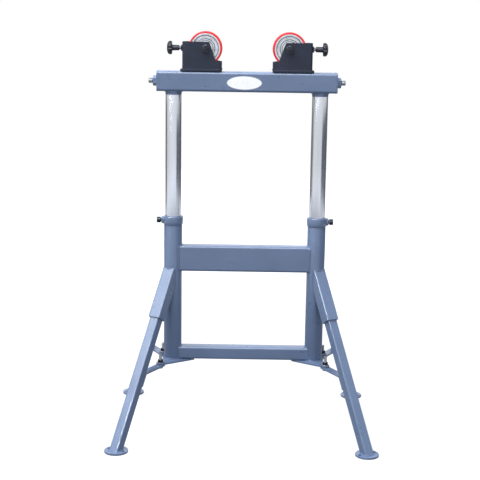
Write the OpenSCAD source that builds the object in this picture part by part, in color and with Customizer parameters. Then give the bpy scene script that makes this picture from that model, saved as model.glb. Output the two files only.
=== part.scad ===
// Two-post pipe roller stand with a height-adjustable head and two braked rollers.
// The floor is at Z = 0, the origin lies midway between the four feet, and the front is -Y.

/* [Rollers] */
// Outside diameter of a roller over its tread
roller_d = 100; // [94:1:106]
// Distance between the two roller axles
roller_spacing = 250; // [244:1:262]
// Width of the tread along the axle
tread_w = 40; // [36:1:41]
// Thickness of the tread
tread_t = 6; // [4:0.5:8]
// Width of the core across its hub
hub_w = 42; // [40:1:44]
// Diameter of the raised hub ring
hub_d = 56; // [50:1:60]
// Radial thickness of the core's rim
rim_t = 5.5; // [4:0.5:7]
// Depth of the ring-shaped recess in each side of the core
web_recess = 4; // [2:0.5:8]
// Outside diameter of a bearing
bearing_od = 32; // [30:1:35]
// Width of a bearing
bearing_w = 10; // [8:1:12]

/* [Roller brackets] */
// Sheet thickness of the bracket shell and its lip
shell_t = 5; // [4:0.5:6]
// Clear width between the two walls of a bracket
shell_gap = 46; // [46:1:48]
// Height of the axle above the bracket's base plate
axle_h = 62; // [60:1:68]
// Height of the walls above the axle
wall_rise = 19; // [16:1:26]
// Length of the flat top of a wall on the inner side of the axle
wall_flat = 8; // [6:1:14]
// Height of the low lip above the base plate
lip_h = 24; // [16:1:26]
// Room between the tread and the end wall
brake_room = 13.5; // [13:0.5:18]
// Outside radius of the two folds of the shell
fold_r = 7; // [6.5:0.5:9]
// Thickness of the base plate
base_t = 6; // [5:0.5:8]
// How far the base plate stands out past the end wall
base_lap = 6; // [4:0.5:9]
// Depth of the base plate from front to back
base_d = 60; // [58:1:64]
// Axle bolt diameter
axle_d = 12; // [10:1:14]

/* [Brake screws] */
// Diameter of the brake stud
brake_d = 10; // [8:1:12]
// Gap between the brake pad and the tread when released
brake_gap = 3.8; // [3.8:0.1:5]
// Diameter of the brake pad
brake_pad_d = 18; // [16:1:22]
// Thickness of the brake pad
brake_pad_t = 5; // [4:0.5:6]
// Gap between the welded nut and the knob's neck when released
knob_gap = 4.5; // [4:0.5:7]
// Length of the knob's neck
knob_neck = 22; // [15:1:25]
// Diameter of the knob's neck
knob_neck_d = 16; // [14.5:0.5:20]
// Diameter of the knob's head
knob_d = 41; // [36:1:48]
// Thickness of the knob's head
knob_t = 15; // [12:1:18]

/* [Top beam] */
// Side of the square beam tube
beam_size = 60; // [58:1:66]
// Wall of the beam tube
beam_wall = 4; // [3:0.5:5]
// Outside corner radius of the beam tube
beam_r = 8; // [6:0.5:10]
// Length of the beam over its end plates
beam_len = 540; // [530:1:560]
// Thickness of an end plate
end_t = 5; // [4:0.5:8]
// How far a post stands inside the beam
post_seat = 44; // [42:1:50]
// Diameter of the set stud in an end plate
stud_d = 16; // [12:1:18]
// How far a set stud stands out of the end plate
stud_out = 25; // [22:1:30]
// Thickness of the set stud's nut
stud_nut_t = 12; // [9:0.5:14]

/* [Posts] */
// Distance of a post's axis from the near end of the beam
post_inset = 50; // [46:1:56]
// Outside diameter of the sliding inner post
inner_od = 48; // [46:0.5:50]
// Wall of the inner post
inner_wall = 3; // [2:0.5:4]
// Running gap between inner post and outer tube, on the radius
slide_gap = 0.5; // [0.4:0.1:0.8]
// Wall of the outer tube
outer_wall = 3; // [2.5:0.5:4]
// Length of the outer tube
outer_len = 449; // [440:1:500]
// Wall of the collar on the outer tube
collar_wall = 2.5; // [2:0.5:4]
// Height of the collar
collar_h = 24; // [24:1:32]
// Height of the beam's underside above the collar
lift = 381; // [350:1:400]
// Length of inner post left in the outer tube at this height
post_hold = 140; // [120:1:150]

/* [Height lock] */
// Diameter of the lock bolt
lock_d = 12; // [10:1:12]
// Length of the welded nut outside the collar
lock_nut_t = 6; // [5:0.5:9]
// Gap between the welded nut and the bolt's head when locked
lock_gap = 2; // [2:0.5:4]
// Thickness of the bolt's head
lock_head_t = 12; // [9:0.5:14]
// Thickness of the clamp pad
lock_pad_t = 4; // [3:0.5:5]

/* [Crossbars] */
// Height of the upper crossbar
mid_h = 80; // [70:1:84]
// Depth of both crossbars
bar_d = 40; // [34:1:44]
// Height of the lower crossbar
low_h = 40; // [34:1:50]
// Height of the upper crossbar's top above the tubes' lower ends
mid_rise = 360; // [356:1:380]
// Wall of the crossbar tubes
bar_wall = 3; // [2:0.5:4]
// Outside corner radius of the crossbar tubes
bar_r = 7; // [5:0.5:9]

/* [Legs] */
// Height of the outer tubes' lower ends above the floor
frame_z = 210; // [205:1:225]
// Distance of a foot outward from its post
foot_out = 149; // [140:1:160]
// Distance of a foot to the front or back of its post
foot_fore = 273; // [265:1:285]
// Height at which a leg's axis crosses its post's axis
apex_z = 504; // [500:1:512]
// Side of the square leg tube
leg_size = 30; // [28:1:32]
// Wall of the leg tube
leg_wall = 2.5; // [2:0.5:3]
// Corner radius of the leg tube
leg_r = 4; // [3.5:0.5:5]
// Slip gap between leg and socket, on each face
leg_gap = 1; // [0.6:0.1:1.4]
// Wall of the socket tube
socket_wall = 4; // [3:0.5:5]
// Drop from the apex to the socket's level top
socket_drop = 4; // [2:0.5:8]
// Distance along the leg from the apex to the socket's lower end
socket_end = 176; // [165:1:200]
// Length of leg left free between its upper end and the outer tube's face
leg_clear = 2; // [1:0.5:6]
// Diameter of a foot pad
foot_d = 70; // [66:1:84]
// Thickness of a foot pad
foot_t = 6; // [5:0.5:10]
// Distance between the two anchor holes of a foot pad
anchor_pitch = 50; // [48:1:54]
// Diameter of an anchor hole
anchor_d = 10; // [8:0.5:11]

/* [Braces] */
// Thickness of a gusset plate
gusset_t = 6; // [5:0.5:8]
// How far a gusset plate runs inward under the lower crossbar
gusset_in = 68; // [60:1:90]
// Distance of a brace bolt from its post's axis
bolt_r = 71; // [68:1:80]
// Diameter of a brace bolt
bolt_d = 10; // [8:1:12]
// Length of a brace bolt's thread above the washer
bolt_up = 26; // [18:1:32]
// Width of a brace strip
strip_w = 26; // [24:1:30]
// Thickness of a brace strip
strip_t = 5; // [4:0.5:6]
// Length of the strip's tab along the leg
tab_len = 42; // [30:1:60]

/* [Fits] */
// Gap around a bolt or stud in a plain hole, on the radius
hole_gap = 0.3; // [0.2:0.05:0.5]
// Gap between a turning thread and its nut, on the radius
thread_gap = 0.3; // [0.25:0.05:0.4]
// Gap between the clamp pad and the post when locked
pad_gap = 0.3; // [0.2:0.05:0.5]
// Gap between a screw's nose and its pad
nose_gap = 0.3; // [0.25:0.05:0.4]

/* [Hidden] */
$fn = 64;

paint = [0.42, 0.49, 0.62];
chrome = [0.80, 0.82, 0.86];
zinc = [0.68, 0.69, 0.71];
coat = [0.20, 0.21, 0.25];
dark = [0.12, 0.12, 0.14];
plastic = [0.09, 0.09, 0.10];
tread_red = [0.86, 0.12, 0.15];
cast = [0.77, 0.80, 0.84];
brass = [0.72, 0.60, 0.32];

post_spacing = beam_len - 2 * post_inset;
post_x = post_spacing / 2;
roller_x = roller_spacing / 2;
roller_r = roller_d / 2;
outer_id = inner_od + 2 * slide_gap;
outer_od = outer_id + 2 * outer_wall;
collar_od = outer_od + 2 * collar_wall;
collar_top = frame_z + outer_len;
beam_z = collar_top + lift;
beam_mid = beam_z + beam_size / 2;
beam_top = beam_z + beam_size;
plate_top = beam_top + base_t;
axle_z = plate_top + axle_h;
lock_z = collar_top - collar_h / 2;

// Hexagon sizes by thread diameter
function flats(d) = 1.5 * d + 1;
function hex_d(d) = flats(d) / cos(30);

// Bracket outline, measured from the axle toward the stand's side
wall_out = roller_r + brake_room + shell_t;
open_short = 1;
slant_in = 13;
slant_up = 2;
wall_in = roller_r - open_short;
shell_w = shell_gap + 2 * shell_t;
slant_x = wall_in - shell_t - slant_in;
slant_z = lip_h - axle_h + slant_up;
axle_washer_t = 2.5;
axle_nut_t = 10;
axle_head_t = 7.5;
axle_end = 4;
inner_race_d = axle_d + 6;

// Brake stack, measured outward from the axle
pad_face = roller_r + brake_gap;
pad_back = pad_face + brake_pad_t;
brake_nut_t = 5;
neck_start = wall_out + brake_nut_t + knob_gap;
head_start = neck_start + knob_neck;
nose_len = 2;

// Lock stack, measured outward from the post's axis
lock_face = inner_od / 2 + pad_gap;
lock_back = lock_face + lock_pad_t;
lock_seat = collar_od / 2 + lock_nut_t;
lock_head = lock_seat + lock_gap;
lock_end = lock_head + lock_head_t;

// Leg slope and brace layout, in the vertical plane of a leg
foot_r = sqrt(foot_out * foot_out + foot_fore * foot_fore);
leg_az = atan2(foot_fore, foot_out);
tau = atan2(foot_r, apex_z - foot_t);
socket_in = leg_size + 2 * leg_gap;
socket_size = socket_in + 2 * socket_wall;
leg_start = (outer_od / 2 + leg_clear + leg_size / 2 * cos(tau)) / sin(tau);
leg_full = (apex_z - foot_t) / cos(tau) + leg_size;
gusset_z = frame_z - gusset_t;
strip_z = gusset_z - strip_t;
washer_t = 2;
brace_nut_t = 8;
brace_head_t = 6.4;
tab_in = leg_size / 2;
tab_out = tab_in + strip_t;
strip_top_s = (apex_z - gusset_z - tab_in * sin(tau)) / cos(tau);
strip_low_s = (apex_z - strip_z - tab_out * sin(tau)) / cos(tau);
tab_end_s = strip_top_s + tab_len;

// Point in a leg's plane at distance s along the leg and offset d toward the post
function leg_pt(s, d) = [s * sin(tau) - d * cos(tau), apex_z - s * cos(tau) - d * sin(tau)];

// Turn for a leg by its side (-1 left, 1 right) and its end (-1 front, 1 back)
function leg_turn(side, end) = side > 0 ? end * leg_az : 180 - end * leg_az;

// Rectangle with round corners
module round_rect(w, h, r) {
    square([w - 2 * r, h], center = true);
    square([w, h - 2 * r], center = true);
    for (x = [-1, 1], y = [-1, 1])
        translate([x * (w / 2 - r), y * (h / 2 - r)])
            circle(r = r);
}

// Section of a rectangular tube
module tube_section(w, h, wall, r) {
    difference() {
        round_rect(w, h, r);
        round_rect(w - 2 * wall, h - 2 * wall, r - wall / 2);
    }
}

// Rectangular tube lying along X
module tube_x(len, depth, height, wall, r) {
    rotate([90, 0, 90])
        translate([0, 0, -len / 2])
            linear_extrude(len)
                tube_section(depth, height, wall, r);
}

// Round tube standing on Z
module pipe_z(od, id, len) {
    difference() {
        cylinder(d = od, h = len);
        translate([0, 0, -1])
            cylinder(d = id, h = len + 2);
    }
}

// Rod along X from a to b
module rod_x(d, a, b) {
    translate([a, 0, 0])
        rotate([0, 90, 0])
            cylinder(d = d, h = b - a);
}

// Hexagon prism along X from a to b, for a thread diameter
module hex_x(d, a, b) {
    translate([a, 0, 0])
        rotate([0, 90, 0])
            cylinder(d = hex_d(d), h = b - a, $fn = 6);
}

// Rod along Y from a to b
module rod_y(d, a, b) {
    translate([0, a, 0])
        rotate([-90, 0, 0])
            cylinder(d = d, h = b - a);
}

// Hexagon prism along Y from a to b, for a thread diameter
module hex_y(d, a, b) {
    translate([0, a, 0])
        rotate([-90, 0, 0])
            cylinder(d = hex_d(d), h = b - a, $fn = 6);
}

// Puts a part drawn with X pointing outward at a post's axis
module at_post(side, z) {
    translate([side * post_x, 0, z])
        rotate([0, 0, side > 0 ? 0 : 180])
            children();
}

// Puts a part drawn with X pointing outward at a roller's axle
module at_axle(side) {
    translate([side * roller_x, 0, axle_z])
        rotate([0, 0, side > 0 ? 0 : 180])
            children();
}

// Puts a part drawn in a leg's plane at its post
module at_leg(side, end) {
    translate([side * post_x, 0, 0])
        rotate([0, 0, leg_turn(side, end)])
            children();
}

// Slopes a part drawn straight down Z to the leg's axis
module leg_slope() {
    translate([0, 0, apex_z])
        rotate([0, -tau, 0])
            children();
}

// Lower post tube with the hole for the clamp pad
module outer_tube(side) {
    color(paint)
        at_post(side, frame_z)
            difference() {
                pipe_z(outer_od, outer_id, outer_len);
                translate([0, 0, lock_z - frame_z])
                    rod_x(lock_d + 2 * thread_gap, 0, collar_od);
            }
}

// Ring welded round the top of the lower tube
module collar(side) {
    color(paint)
        at_post(side, collar_top - collar_h)
            difference() {
                pipe_z(collar_od, outer_od, collar_h);
                translate([0, 0, collar_h / 2])
                    rod_x(lock_d + 2 * thread_gap, 0, collar_od);
            }
}

// Crossbar coped to both lower tubes
module crossbar(height, top) {
    color(paint)
        difference() {
            translate([0, 0, top - height / 2])
                tube_x(post_spacing, bar_d, height, bar_wall, bar_r);
            for (s = [-1, 1])
                translate([s * post_x, 0, top - height - 1])
                    cylinder(d = outer_od, h = height + 2);
        }
}

// Plate under the foot of a lower tube, with an ear for each brace bolt
module gusset(side) {
    bx = bolt_r * cos(leg_az);
    by = bolt_r * sin(leg_az);
    ear = strip_w / 2;
    ear_in = 3;
    root_x = bx - 2 * ear_in;
    root_y = by + 0.8 * ear;
    nose_half = 8;
    color(paint)
        at_post(side, gusset_z)
            difference() {
                linear_extrude(gusset_t) {
                    polygon([
                        [bx - ear_in, -by], [bx - ear_in, by], [root_x, root_y],
                        [-gusset_in, nose_half], [-gusset_in, -nose_half], [root_x, -root_y]
                    ]);
                    for (y = [-by, by])
                        translate([bx, y])
                            circle(r = ear);
                }
                for (y = [-by, by])
                    translate([bx, y, -1])
                        cylinder(d = bolt_d + 2 * hole_gap, h = gusset_t + 2);
            }
}

// Square socket for a leg, coped to its lower tube
module socket(side, end) {
    cut = outer_od + 2 * socket_size;
    corner = leg_r + leg_gap;
    color(paint)
        at_leg(side, end)
            difference() {
                leg_slope()
                    translate([0, 0, -socket_end])
                        linear_extrude(socket_end)
                            tube_section(socket_size, socket_size, socket_wall, corner);
                translate([0, 0, frame_z])
                    cylinder(d = outer_od, h = outer_len);
                translate([-cut, -cut, apex_z - socket_drop])
                    cube([2 * cut, 2 * cut, socket_drop + cut]);
                translate([-2 * cut, -cut, frame_z])
                    cube([2 * cut, 2 * cut, outer_len]);
            }
}

// Square leg tube, cut level where it stands on its foot
module leg(side, end) {
    cut = 3 * leg_size;
    color(paint)
        at_leg(side, end)
            difference() {
                leg_slope()
                    translate([0, 0, -leg_full])
                        linear_extrude(leg_full - leg_start)
                            tube_section(leg_size, leg_size, leg_wall, leg_r);
                translate([foot_r - cut, -cut, foot_t - cut])
                    cube([2 * cut, 2 * cut, cut]);
            }
}

// Round foot pad with two anchor holes beside the leg
module foot(side, end) {
    color(paint)
        at_leg(side, end)
            translate([foot_r, 0, 0])
                difference() {
                    cylinder(d = foot_d, h = foot_t);
                    for (y = [-1, 1])
                        translate([0, y * anchor_pitch / 2, -1])
                            cylinder(d = anchor_d, h = foot_t + 2);
                }
}

// Flat brace strip with a tab bent down along the inner face of the leg
module brace(side, end) {
    strip_start = bolt_r - strip_w / 2;
    color(paint)
        at_leg(side, end)
            difference() {
                translate([0, strip_w / 2, 0])
                    rotate([90, 0, 0])
                        linear_extrude(strip_w)
                            polygon([
                                [strip_start, gusset_z], leg_pt(strip_top_s, tab_in),
                                leg_pt(tab_end_s, tab_in), leg_pt(tab_end_s, tab_out),
                                leg_pt(strip_low_s, tab_out), [strip_start, strip_z]
                            ]);
                translate([bolt_r, 0, strip_z - 1])
                    cylinder(d = bolt_d + 2 * hole_gap, h = strip_t + 2);
            }
}

// Every brace bolt position
module at_bolts() {
    for (side = [-1, 1], end = [-1, 1])
        at_leg(side, end)
            translate([bolt_r, 0, 0])
                children();
}

module brace_bolts() {
    color(dark)
        at_bolts() {
            translate([0, 0, strip_z])
                cylinder(d = bolt_d, h = frame_z + washer_t + bolt_up - strip_z);
            translate([0, 0, strip_z - brace_head_t])
                cylinder(d = hex_d(bolt_d), h = brace_head_t, $fn = 6);
        }
}

module brace_nuts() {
    color(dark)
        at_bolts()
            translate([0, 0, frame_z + washer_t])
                difference() {
                    cylinder(d = hex_d(bolt_d), h = brace_nut_t, $fn = 6);
                    translate([0, 0, -1])
                        cylinder(d = bolt_d, h = brace_nut_t + 2);
                }
}

module brace_washers() {
    color(dark)
        at_bolts()
            translate([0, 0, frame_z])
                pipe_z(2 * bolt_d + 1, bolt_d + 2 * hole_gap, washer_t);
}

// Nuts welded to the collars for the lock bolts
module lock_nuts() {
    color(paint)
        for (side = [-1, 1])
            at_post(side, lock_z)
                difference() {
                    hex_x(lock_d, outer_od / 2, lock_seat);
                    translate([0, 0, -collar_h])
                        cylinder(d = collar_od, h = 2 * collar_h);
                    rod_x(lock_d + 2 * thread_gap, 0, lock_seat + 1);
                }
}

// Clamp pad that the lock bolt presses on the inner post
module lock_pad(side) {
    color(brass)
        at_post(side, lock_z)
            difference() {
                rod_x(lock_d - 1, lock_face, lock_back);
                rod_x(lock_d / 2 + 2 * nose_gap - 1, lock_back - nose_len - nose_gap, lock_back + 1);
            }
}

// Lock bolt with a nose that turns in the clamp pad
module lock_bolt(side) {
    color(dark)
        at_post(side, lock_z) {
            rod_x(lock_d / 2 - 1, lock_back - nose_len, lock_back + 1);
            rod_x(lock_d, lock_back + nose_gap, lock_head);
            difference() {
                rod_x(1.5 * lock_d, lock_head, lock_end);
                hex_x(lock_d / 2, lock_end - lock_head_t / 2, lock_end + 1);
            }
        }
}

// Square top beam with a hole in its underside for each post
module beam() {
    color(paint)
        difference() {
            translate([0, 0, beam_mid])
                tube_x(beam_len - 2 * end_t, beam_size, beam_size, beam_wall, beam_r);
            for (s = [-1, 1])
                translate([s * post_x, 0, beam_z - 1])
                    cylinder(d = inner_od, h = beam_wall + 2);
        }
}

// Plate welded over an end of the beam
module end_plate(side) {
    color(paint)
        translate([side * (beam_len / 2 - end_t / 2), 0, beam_mid])
            rotate([90, 0, 90])
                translate([0, 0, -end_t / 2])
                    difference() {
                        linear_extrude(end_t)
                            round_rect(beam_size, beam_size, beam_r);
                        translate([0, 0, -1])
                            cylinder(d = stud_d, h = end_t + 2);
                    }
}

// Sliding inner post, open at both ends
module post(side) {
    color(chrome)
        translate([side * post_x, 0, collar_top - post_hold])
            pipe_z(inner_od, inner_od - 2 * inner_wall, post_hold + lift + post_seat);
}

// Studs through the end plates that bear on the posts
module set_studs() {
    color(zinc)
        for (side = [-1, 1])
            at_post(side, beam_mid)
                rod_x(stud_d, inner_od / 2, beam_len / 2 - post_x + stud_out);
}

module set_nuts() {
    color(paint)
        for (side = [-1, 1])
            at_post(side, beam_mid)
                translate([beam_len / 2 - post_x, 0, 0])
                    difference() {
                        hex_x(stud_d + 1.5, 0, stud_nut_t);
                        rod_x(stud_d, -1, stud_nut_t + 1);
                    }
}

// Base plate of a bracket, welded to the beam
module bracket_base(side) {
    len = wall_in + wall_out + base_lap;
    color(coat)
        at_axle(side)
            translate([(wall_out + base_lap - wall_in) / 2, 0, -axle_h - base_t])
                linear_extrude(base_t)
                    round_rect(len, base_d, 8);
}

// Side outline of a bracket wall, X outward and Y up from the axle
module wall_outline() {
    turn_r = 6;
    lean = atan2(slant_x - wall_flat, wall_rise - slant_z);
    turn_x = turn_r * tan(lean / 2) - wall_flat;
    polygon(concat(
        [[wall_out, -axle_h], [wall_out, wall_rise]],
        [for (i = [0:6]) let (a = 90 + i * (90 - lean) / 6)
            [turn_x + turn_r * cos(a), wall_rise - turn_r + turn_r * sin(a)]],
        [[-slant_x, slant_z], [shell_t - wall_in, slant_z - 2], [shell_t - wall_in, -axle_h]]
    ));
}

// Folded shell of a bracket: front wall, end wall and rear wall in one sheet
module bracket_shell(side) {
    color(coat)
        at_axle(side)
            difference() {
                intersection() {
                    translate([0, 0, -axle_h])
                        linear_extrude(axle_h + wall_rise)
                            shell_plan();
                    translate([0, shell_w, 0])
                        rotate([90, 0, 0])
                            linear_extrude(2 * shell_w)
                                wall_outline();
                }
                rod_y(axle_d, -shell_w, shell_w);
                rod_x(brake_d + 2 * thread_gap, roller_r, wall_out + 1);
            }
}

// Plan of the shell, open on the inner side
module shell_plan() {
    inner_r = fold_r - shell_t;
    difference() {
        union() {
            translate([-wall_in, -shell_w / 2])
                square([wall_in + wall_out - fold_r, shell_w]);
            translate([0, fold_r - shell_w / 2])
                square([wall_out, shell_w - 2 * fold_r]);
            for (y = [-1, 1])
                translate([wall_out - fold_r, y * (shell_w / 2 - fold_r)])
                    circle(r = fold_r);
        }
        translate([-wall_in - 1, -shell_gap / 2])
            square([wall_in + wall_out - fold_r + 1, shell_gap]);
        translate([0, inner_r - shell_gap / 2])
            square([wall_out - shell_t, shell_gap - 2 * inner_r]);
        for (y = [-1, 1])
            translate([wall_out - fold_r, y * (shell_gap / 2 - inner_r)])
                circle(r = inner_r);
    }
}

// Low lip that closes the inner end of a bracket
module bracket_lip(side) {
    color(coat)
        at_axle(side)
            translate([-wall_in, 0, -axle_h])
                linear_extrude(lip_h)
                    difference() {
                        translate([shell_t, 0])
                            round_rect(2 * shell_t, shell_w, shell_t - 1);
                        translate([shell_t, -shell_w])
                            square([2 * shell_t, 2 * shell_w]);
                    }
}

module axle_bolts() {
    head = shell_w / 2 + axle_washer_t;
    color(dark)
        for (side = [-1, 1])
            translate([side * roller_x, 0, axle_z]) {
                rod_y(axle_d, -head - axle_nut_t - axle_end, head);
                hex_y(axle_d, head, head + axle_head_t);
            }
}

module axle_nuts() {
    seat = shell_w / 2 + axle_washer_t;
    color(dark)
        for (side = [-1, 1])
            translate([side * roller_x, 0, axle_z])
                difference() {
                    hex_y(axle_d, -seat - axle_nut_t, -seat);
                    rod_y(axle_d, -seat - axle_nut_t - 1, 1 - seat);
                }
}

module axle_washers() {
    color(dark)
        for (side = [-1, 1], end = [-1, 1])
            translate([side * roller_x, end * (shell_w + axle_washer_t) / 2, axle_z])
                difference() {
                    rod_y(2 * axle_d, -axle_washer_t / 2, axle_washer_t / 2);
                    rod_y(axle_d, -axle_washer_t, axle_washer_t);
                }
}

// Inner races and spacers in one sleeve between the walls
module axle_sleeves() {
    color(zinc)
        for (side = [-1, 1])
            translate([side * roller_x, 0, axle_z])
                difference() {
                    rod_y(inner_race_d, -shell_gap / 2, shell_gap / 2);
                    rod_y(axle_d, -shell_gap, shell_gap);
                }
}

// Nuts welded to the end walls for the brake studs
module brake_nuts() {
    color(coat)
        for (side = [-1, 1])
            at_axle(side)
                difference() {
                    hex_x(brake_d, wall_out, wall_out + brake_nut_t);
                    rod_x(brake_d + 2 * thread_gap, wall_out - 1, wall_out + brake_nut_t + 1);
                }
}

// Soft tread bonded on the core
module tread(side) {
    ease = 2;
    core_r = roller_r - tread_t;
    half = tread_w / 2;
    color(tread_red)
        at_axle(side)
            rotate([90, 0, 0])
                rotate_extrude()
                    polygon([
                        [core_r, -half], [roller_r - ease, -half], [roller_r, ease - half],
                        [roller_r, half - ease], [roller_r - ease, half], [core_r, half]
                    ]);
}

// Cast core: rim, recessed web, hub and two bearing seats
module core(side) {
    core_r = roller_r - tread_t;
    rim_in = core_r - rim_t;
    hub_r = hub_d / 2;
    bore_step = 4;
    step_r = hub_r - 5;
    seat_r = bearing_od / 2;
    bore_r = seat_r - bore_step;
    rim_h = tread_w / 2;
    step_h = rim_h - 1;
    web_h = rim_h - web_recess;
    hub_h = hub_w / 2;
    seat_h = hub_h - bearing_w;
    color(cast)
        at_axle(side)
            rotate([90, 0, 0])
                rotate_extrude()
                    polygon([
                        [bore_r, -seat_h], [seat_r, -seat_h], [seat_r, -hub_h], [step_r, -hub_h],
                        [step_r, -step_h], [hub_r, -step_h], [hub_r, -web_h],
                        [rim_in, -web_h], [rim_in, -rim_h], [core_r, -rim_h],
                        [core_r, rim_h], [rim_in, rim_h], [rim_in, web_h],
                        [hub_r, web_h], [hub_r, step_h], [step_r, step_h],
                        [step_r, hub_h], [seat_r, hub_h], [seat_r, seat_h], [bore_r, seat_h]
                    ]);
}

// Outer races of the two bearings with their shields
module bearings(side) {
    seat_r = bearing_od / 2;
    shield_r = inner_race_d / 2 + 0.4;
    race_r = seat_r - 3;
    color(zinc)
        at_axle(side)
            for (y = [-1, 1])
                translate([0, y * (hub_w - bearing_w) / 2, 0])
                    difference() {
                        rod_y(2 * seat_r, -bearing_w / 2, bearing_w / 2);
                        rod_y(2 * shield_r, -bearing_w, bearing_w);
                        rod_y(2 * race_r, 1 - bearing_w / 2, bearing_w / 2 - 1);
                    }
}

// Brake pad that swivels on the end of the brake stud
module brake_pad(side) {
    color(dark)
        at_axle(side)
            difference() {
                rod_x(brake_pad_d, pad_face, pad_back);
                rod_x(brake_d / 2 + 2 * nose_gap, pad_back - nose_len - nose_gap, pad_back + 1);
            }
}

// Star knob with a domed head and its stud moulded in
module brake_knob(side) {
    lobes = 8;
    scallop_d = 11;
    scallop_out = 2;
    rim_ease = 3;
    dome_in = 3.5;
    knob_r = knob_d / 2;
    knob_end = head_start + knob_t;
    color(plastic)
        at_axle(side) {
            rod_x(brake_d / 2, pad_back - nose_len, pad_back + 1);
            rod_x(brake_d, pad_back + nose_gap, neck_start + 1);
            rod_x(knob_neck_d, neck_start, head_start + 1);
            difference() {
                translate([head_start, 0, 0])
                    rotate([0, 90, 0])
                        rotate_extrude()
                            polygon([
                                [0, 0], [knob_r - rim_ease, 0], [knob_r, rim_ease], [knob_r, 0.5 * knob_t],
                                [knob_r - dome_in, 0.8 * knob_t], [knob_r / 2, knob_t], [0, knob_t]
                            ]);
                for (i = [0:lobes - 1])
                    rotate([i * 360 / lobes, 0, 0])
                        translate([0, 0, knob_r + scallop_out])
                            rod_x(scallop_d, head_start - rim_ease, knob_end + rim_ease);
            }
        }
}

outer_tube(-1);  // outer_tube_l
outer_tube(1);  // outer_tube_r
collar(-1);  // collar_l
collar(1);  // collar_r
crossbar(mid_h, frame_z + mid_rise);  // mid_bar
crossbar(low_h, frame_z + low_h);  // low_bar
gusset(-1);  // gusset_l
gusset(1);  // gusset_r
socket(-1, -1);  // socket_fl
socket(1, -1);  // socket_fr
socket(-1, 1);  // socket_bl
socket(1, 1);  // socket_br
leg(-1, -1);  // leg_fl
leg(1, -1);  // leg_fr
leg(-1, 1);  // leg_bl
leg(1, 1);  // leg_br
foot(-1, -1);  // foot_fl
foot(1, -1);  // foot_fr
foot(-1, 1);  // foot_bl
foot(1, 1);  // foot_br
brace(-1, -1);  // brace_fl
brace(1, -1);  // brace_fr
brace(-1, 1);  // brace_bl
brace(1, 1);  // brace_br
brace_bolts();
brace_nuts();
brace_washers();
lock_nuts();
beam();
end_plate(-1);  // end_plate_l
end_plate(1);  // end_plate_r
post(-1);  // post_l
post(1);  // post_r
set_studs();
set_nuts();
bracket_base(-1);  // bracket_base_l
bracket_base(1);  // bracket_base_r
bracket_shell(-1);  // bracket_shell_l
bracket_shell(1);  // bracket_shell_r
bracket_lip(-1);  // bracket_lip_l
bracket_lip(1);  // bracket_lip_r
axle_bolts();
axle_nuts();
axle_washers();
axle_sleeves();
brake_nuts();
tread(-1);  // tread_l
tread(1);  // tread_r
core(-1);  // core_l
core(1);  // core_r
bearings(-1);  // bearings_l
bearings(1);  // bearings_r
brake_pad(-1);  // brake_pad_l
brake_pad(1);  // brake_pad_r
brake_knob(-1);  // brake_knob_l
brake_knob(1);  // brake_knob_r
lock_pad(-1);  // lock_pad_l
lock_pad(1);  // lock_pad_r
lock_bolt(-1);  // lock_bolt_l
lock_bolt(1);  // lock_bolt_r
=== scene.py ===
"""Looks of a two-post pipe roller stand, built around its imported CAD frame.

Sizes are in millimetres and become metres through MM. Those of the studio are in metres.
"""

import logging
import math
from collections.abc import Callable, Sequence
from dataclasses import dataclass, replace
from enum import Enum
from functools import cached_property

import bmesh
import bpy
from mathutils import Matrix, Vector


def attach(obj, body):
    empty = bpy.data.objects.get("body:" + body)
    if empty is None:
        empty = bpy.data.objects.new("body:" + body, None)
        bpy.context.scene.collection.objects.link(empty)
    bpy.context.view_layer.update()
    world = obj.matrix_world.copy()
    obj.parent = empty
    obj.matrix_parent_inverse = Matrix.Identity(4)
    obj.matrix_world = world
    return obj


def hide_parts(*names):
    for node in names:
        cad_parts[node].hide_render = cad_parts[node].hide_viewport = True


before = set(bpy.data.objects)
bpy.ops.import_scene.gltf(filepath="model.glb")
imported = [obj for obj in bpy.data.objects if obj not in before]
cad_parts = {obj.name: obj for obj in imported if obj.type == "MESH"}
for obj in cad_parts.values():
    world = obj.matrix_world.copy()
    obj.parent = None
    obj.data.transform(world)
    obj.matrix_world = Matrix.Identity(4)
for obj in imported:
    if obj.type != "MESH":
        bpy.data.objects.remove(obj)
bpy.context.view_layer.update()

LOG = logging.getLogger("roller_stand")
Flat = tuple[float, float]
Spot = tuple[float, float, float]
Thing = bpy.types.Object
Tree = bpy.types.NodeTree
Socket = bpy.types.NodeSocket

MM = 0.001
TURN = 2 * math.pi
# Distance, in metres, under which two vertices become one.
MERGE = 1e-6
# Length by which a cutter runs past what it cuts.
OVER = 10.0
# Share of a unit direction that counts as running along an axis.
ALONG = 0.9
# Sharpest angle, in degrees, that shades smooth.
SMOOTH = 35.0
# Room between a thread and a plain hole round it, and bite of a thread into its nut.
ROOM, BITE = 0.3, 0.2
# Spacing of the points of a seam that is laid on a tube.
SEAM_STEP = 2.0
# Weld bead: point spacing, ripple and drift as shares of its radius, points in a ripple, drift rate a point.
BEAD_STEP, RIPPLE, DRIFT, RIPPLE_POINTS, DRIFT_RATE = 0.55, 0.15, 0.08, 5, 0.37
# Facets round a hole, a bolt, a disc, a plain cut, a tube, a wheel and a knob.
HOLE, BOLT, DISC, CUT, TUBE, WHEEL, KNOB = 32, 40, 48, 64, 72, 96, 128


class Half(Enum):
    """One half of the stand. Its value is a sign on an axis."""

    @property
    def tag(self) -> str:
        """Word used in piece names."""
        return self.name.lower()

    @property
    def letter(self) -> str:
        """Letter used in the CAD node names."""
        return self.tag[0]


class Side(Half):
    """Left or right, as a sign on X."""

    LEFT = -1
    RIGHT = 1


class End(Half):
    """Front or back, as a sign on Y."""

    FRONT = -1
    BACK = 1


class Select(Enum):
    """Kind of element that an edit-mode selection picks."""

    EDGE = "EDGE"
    FACE = "FACE"


# Modelling helpers: each wraps the operators that a modeller would use by hand.


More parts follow.
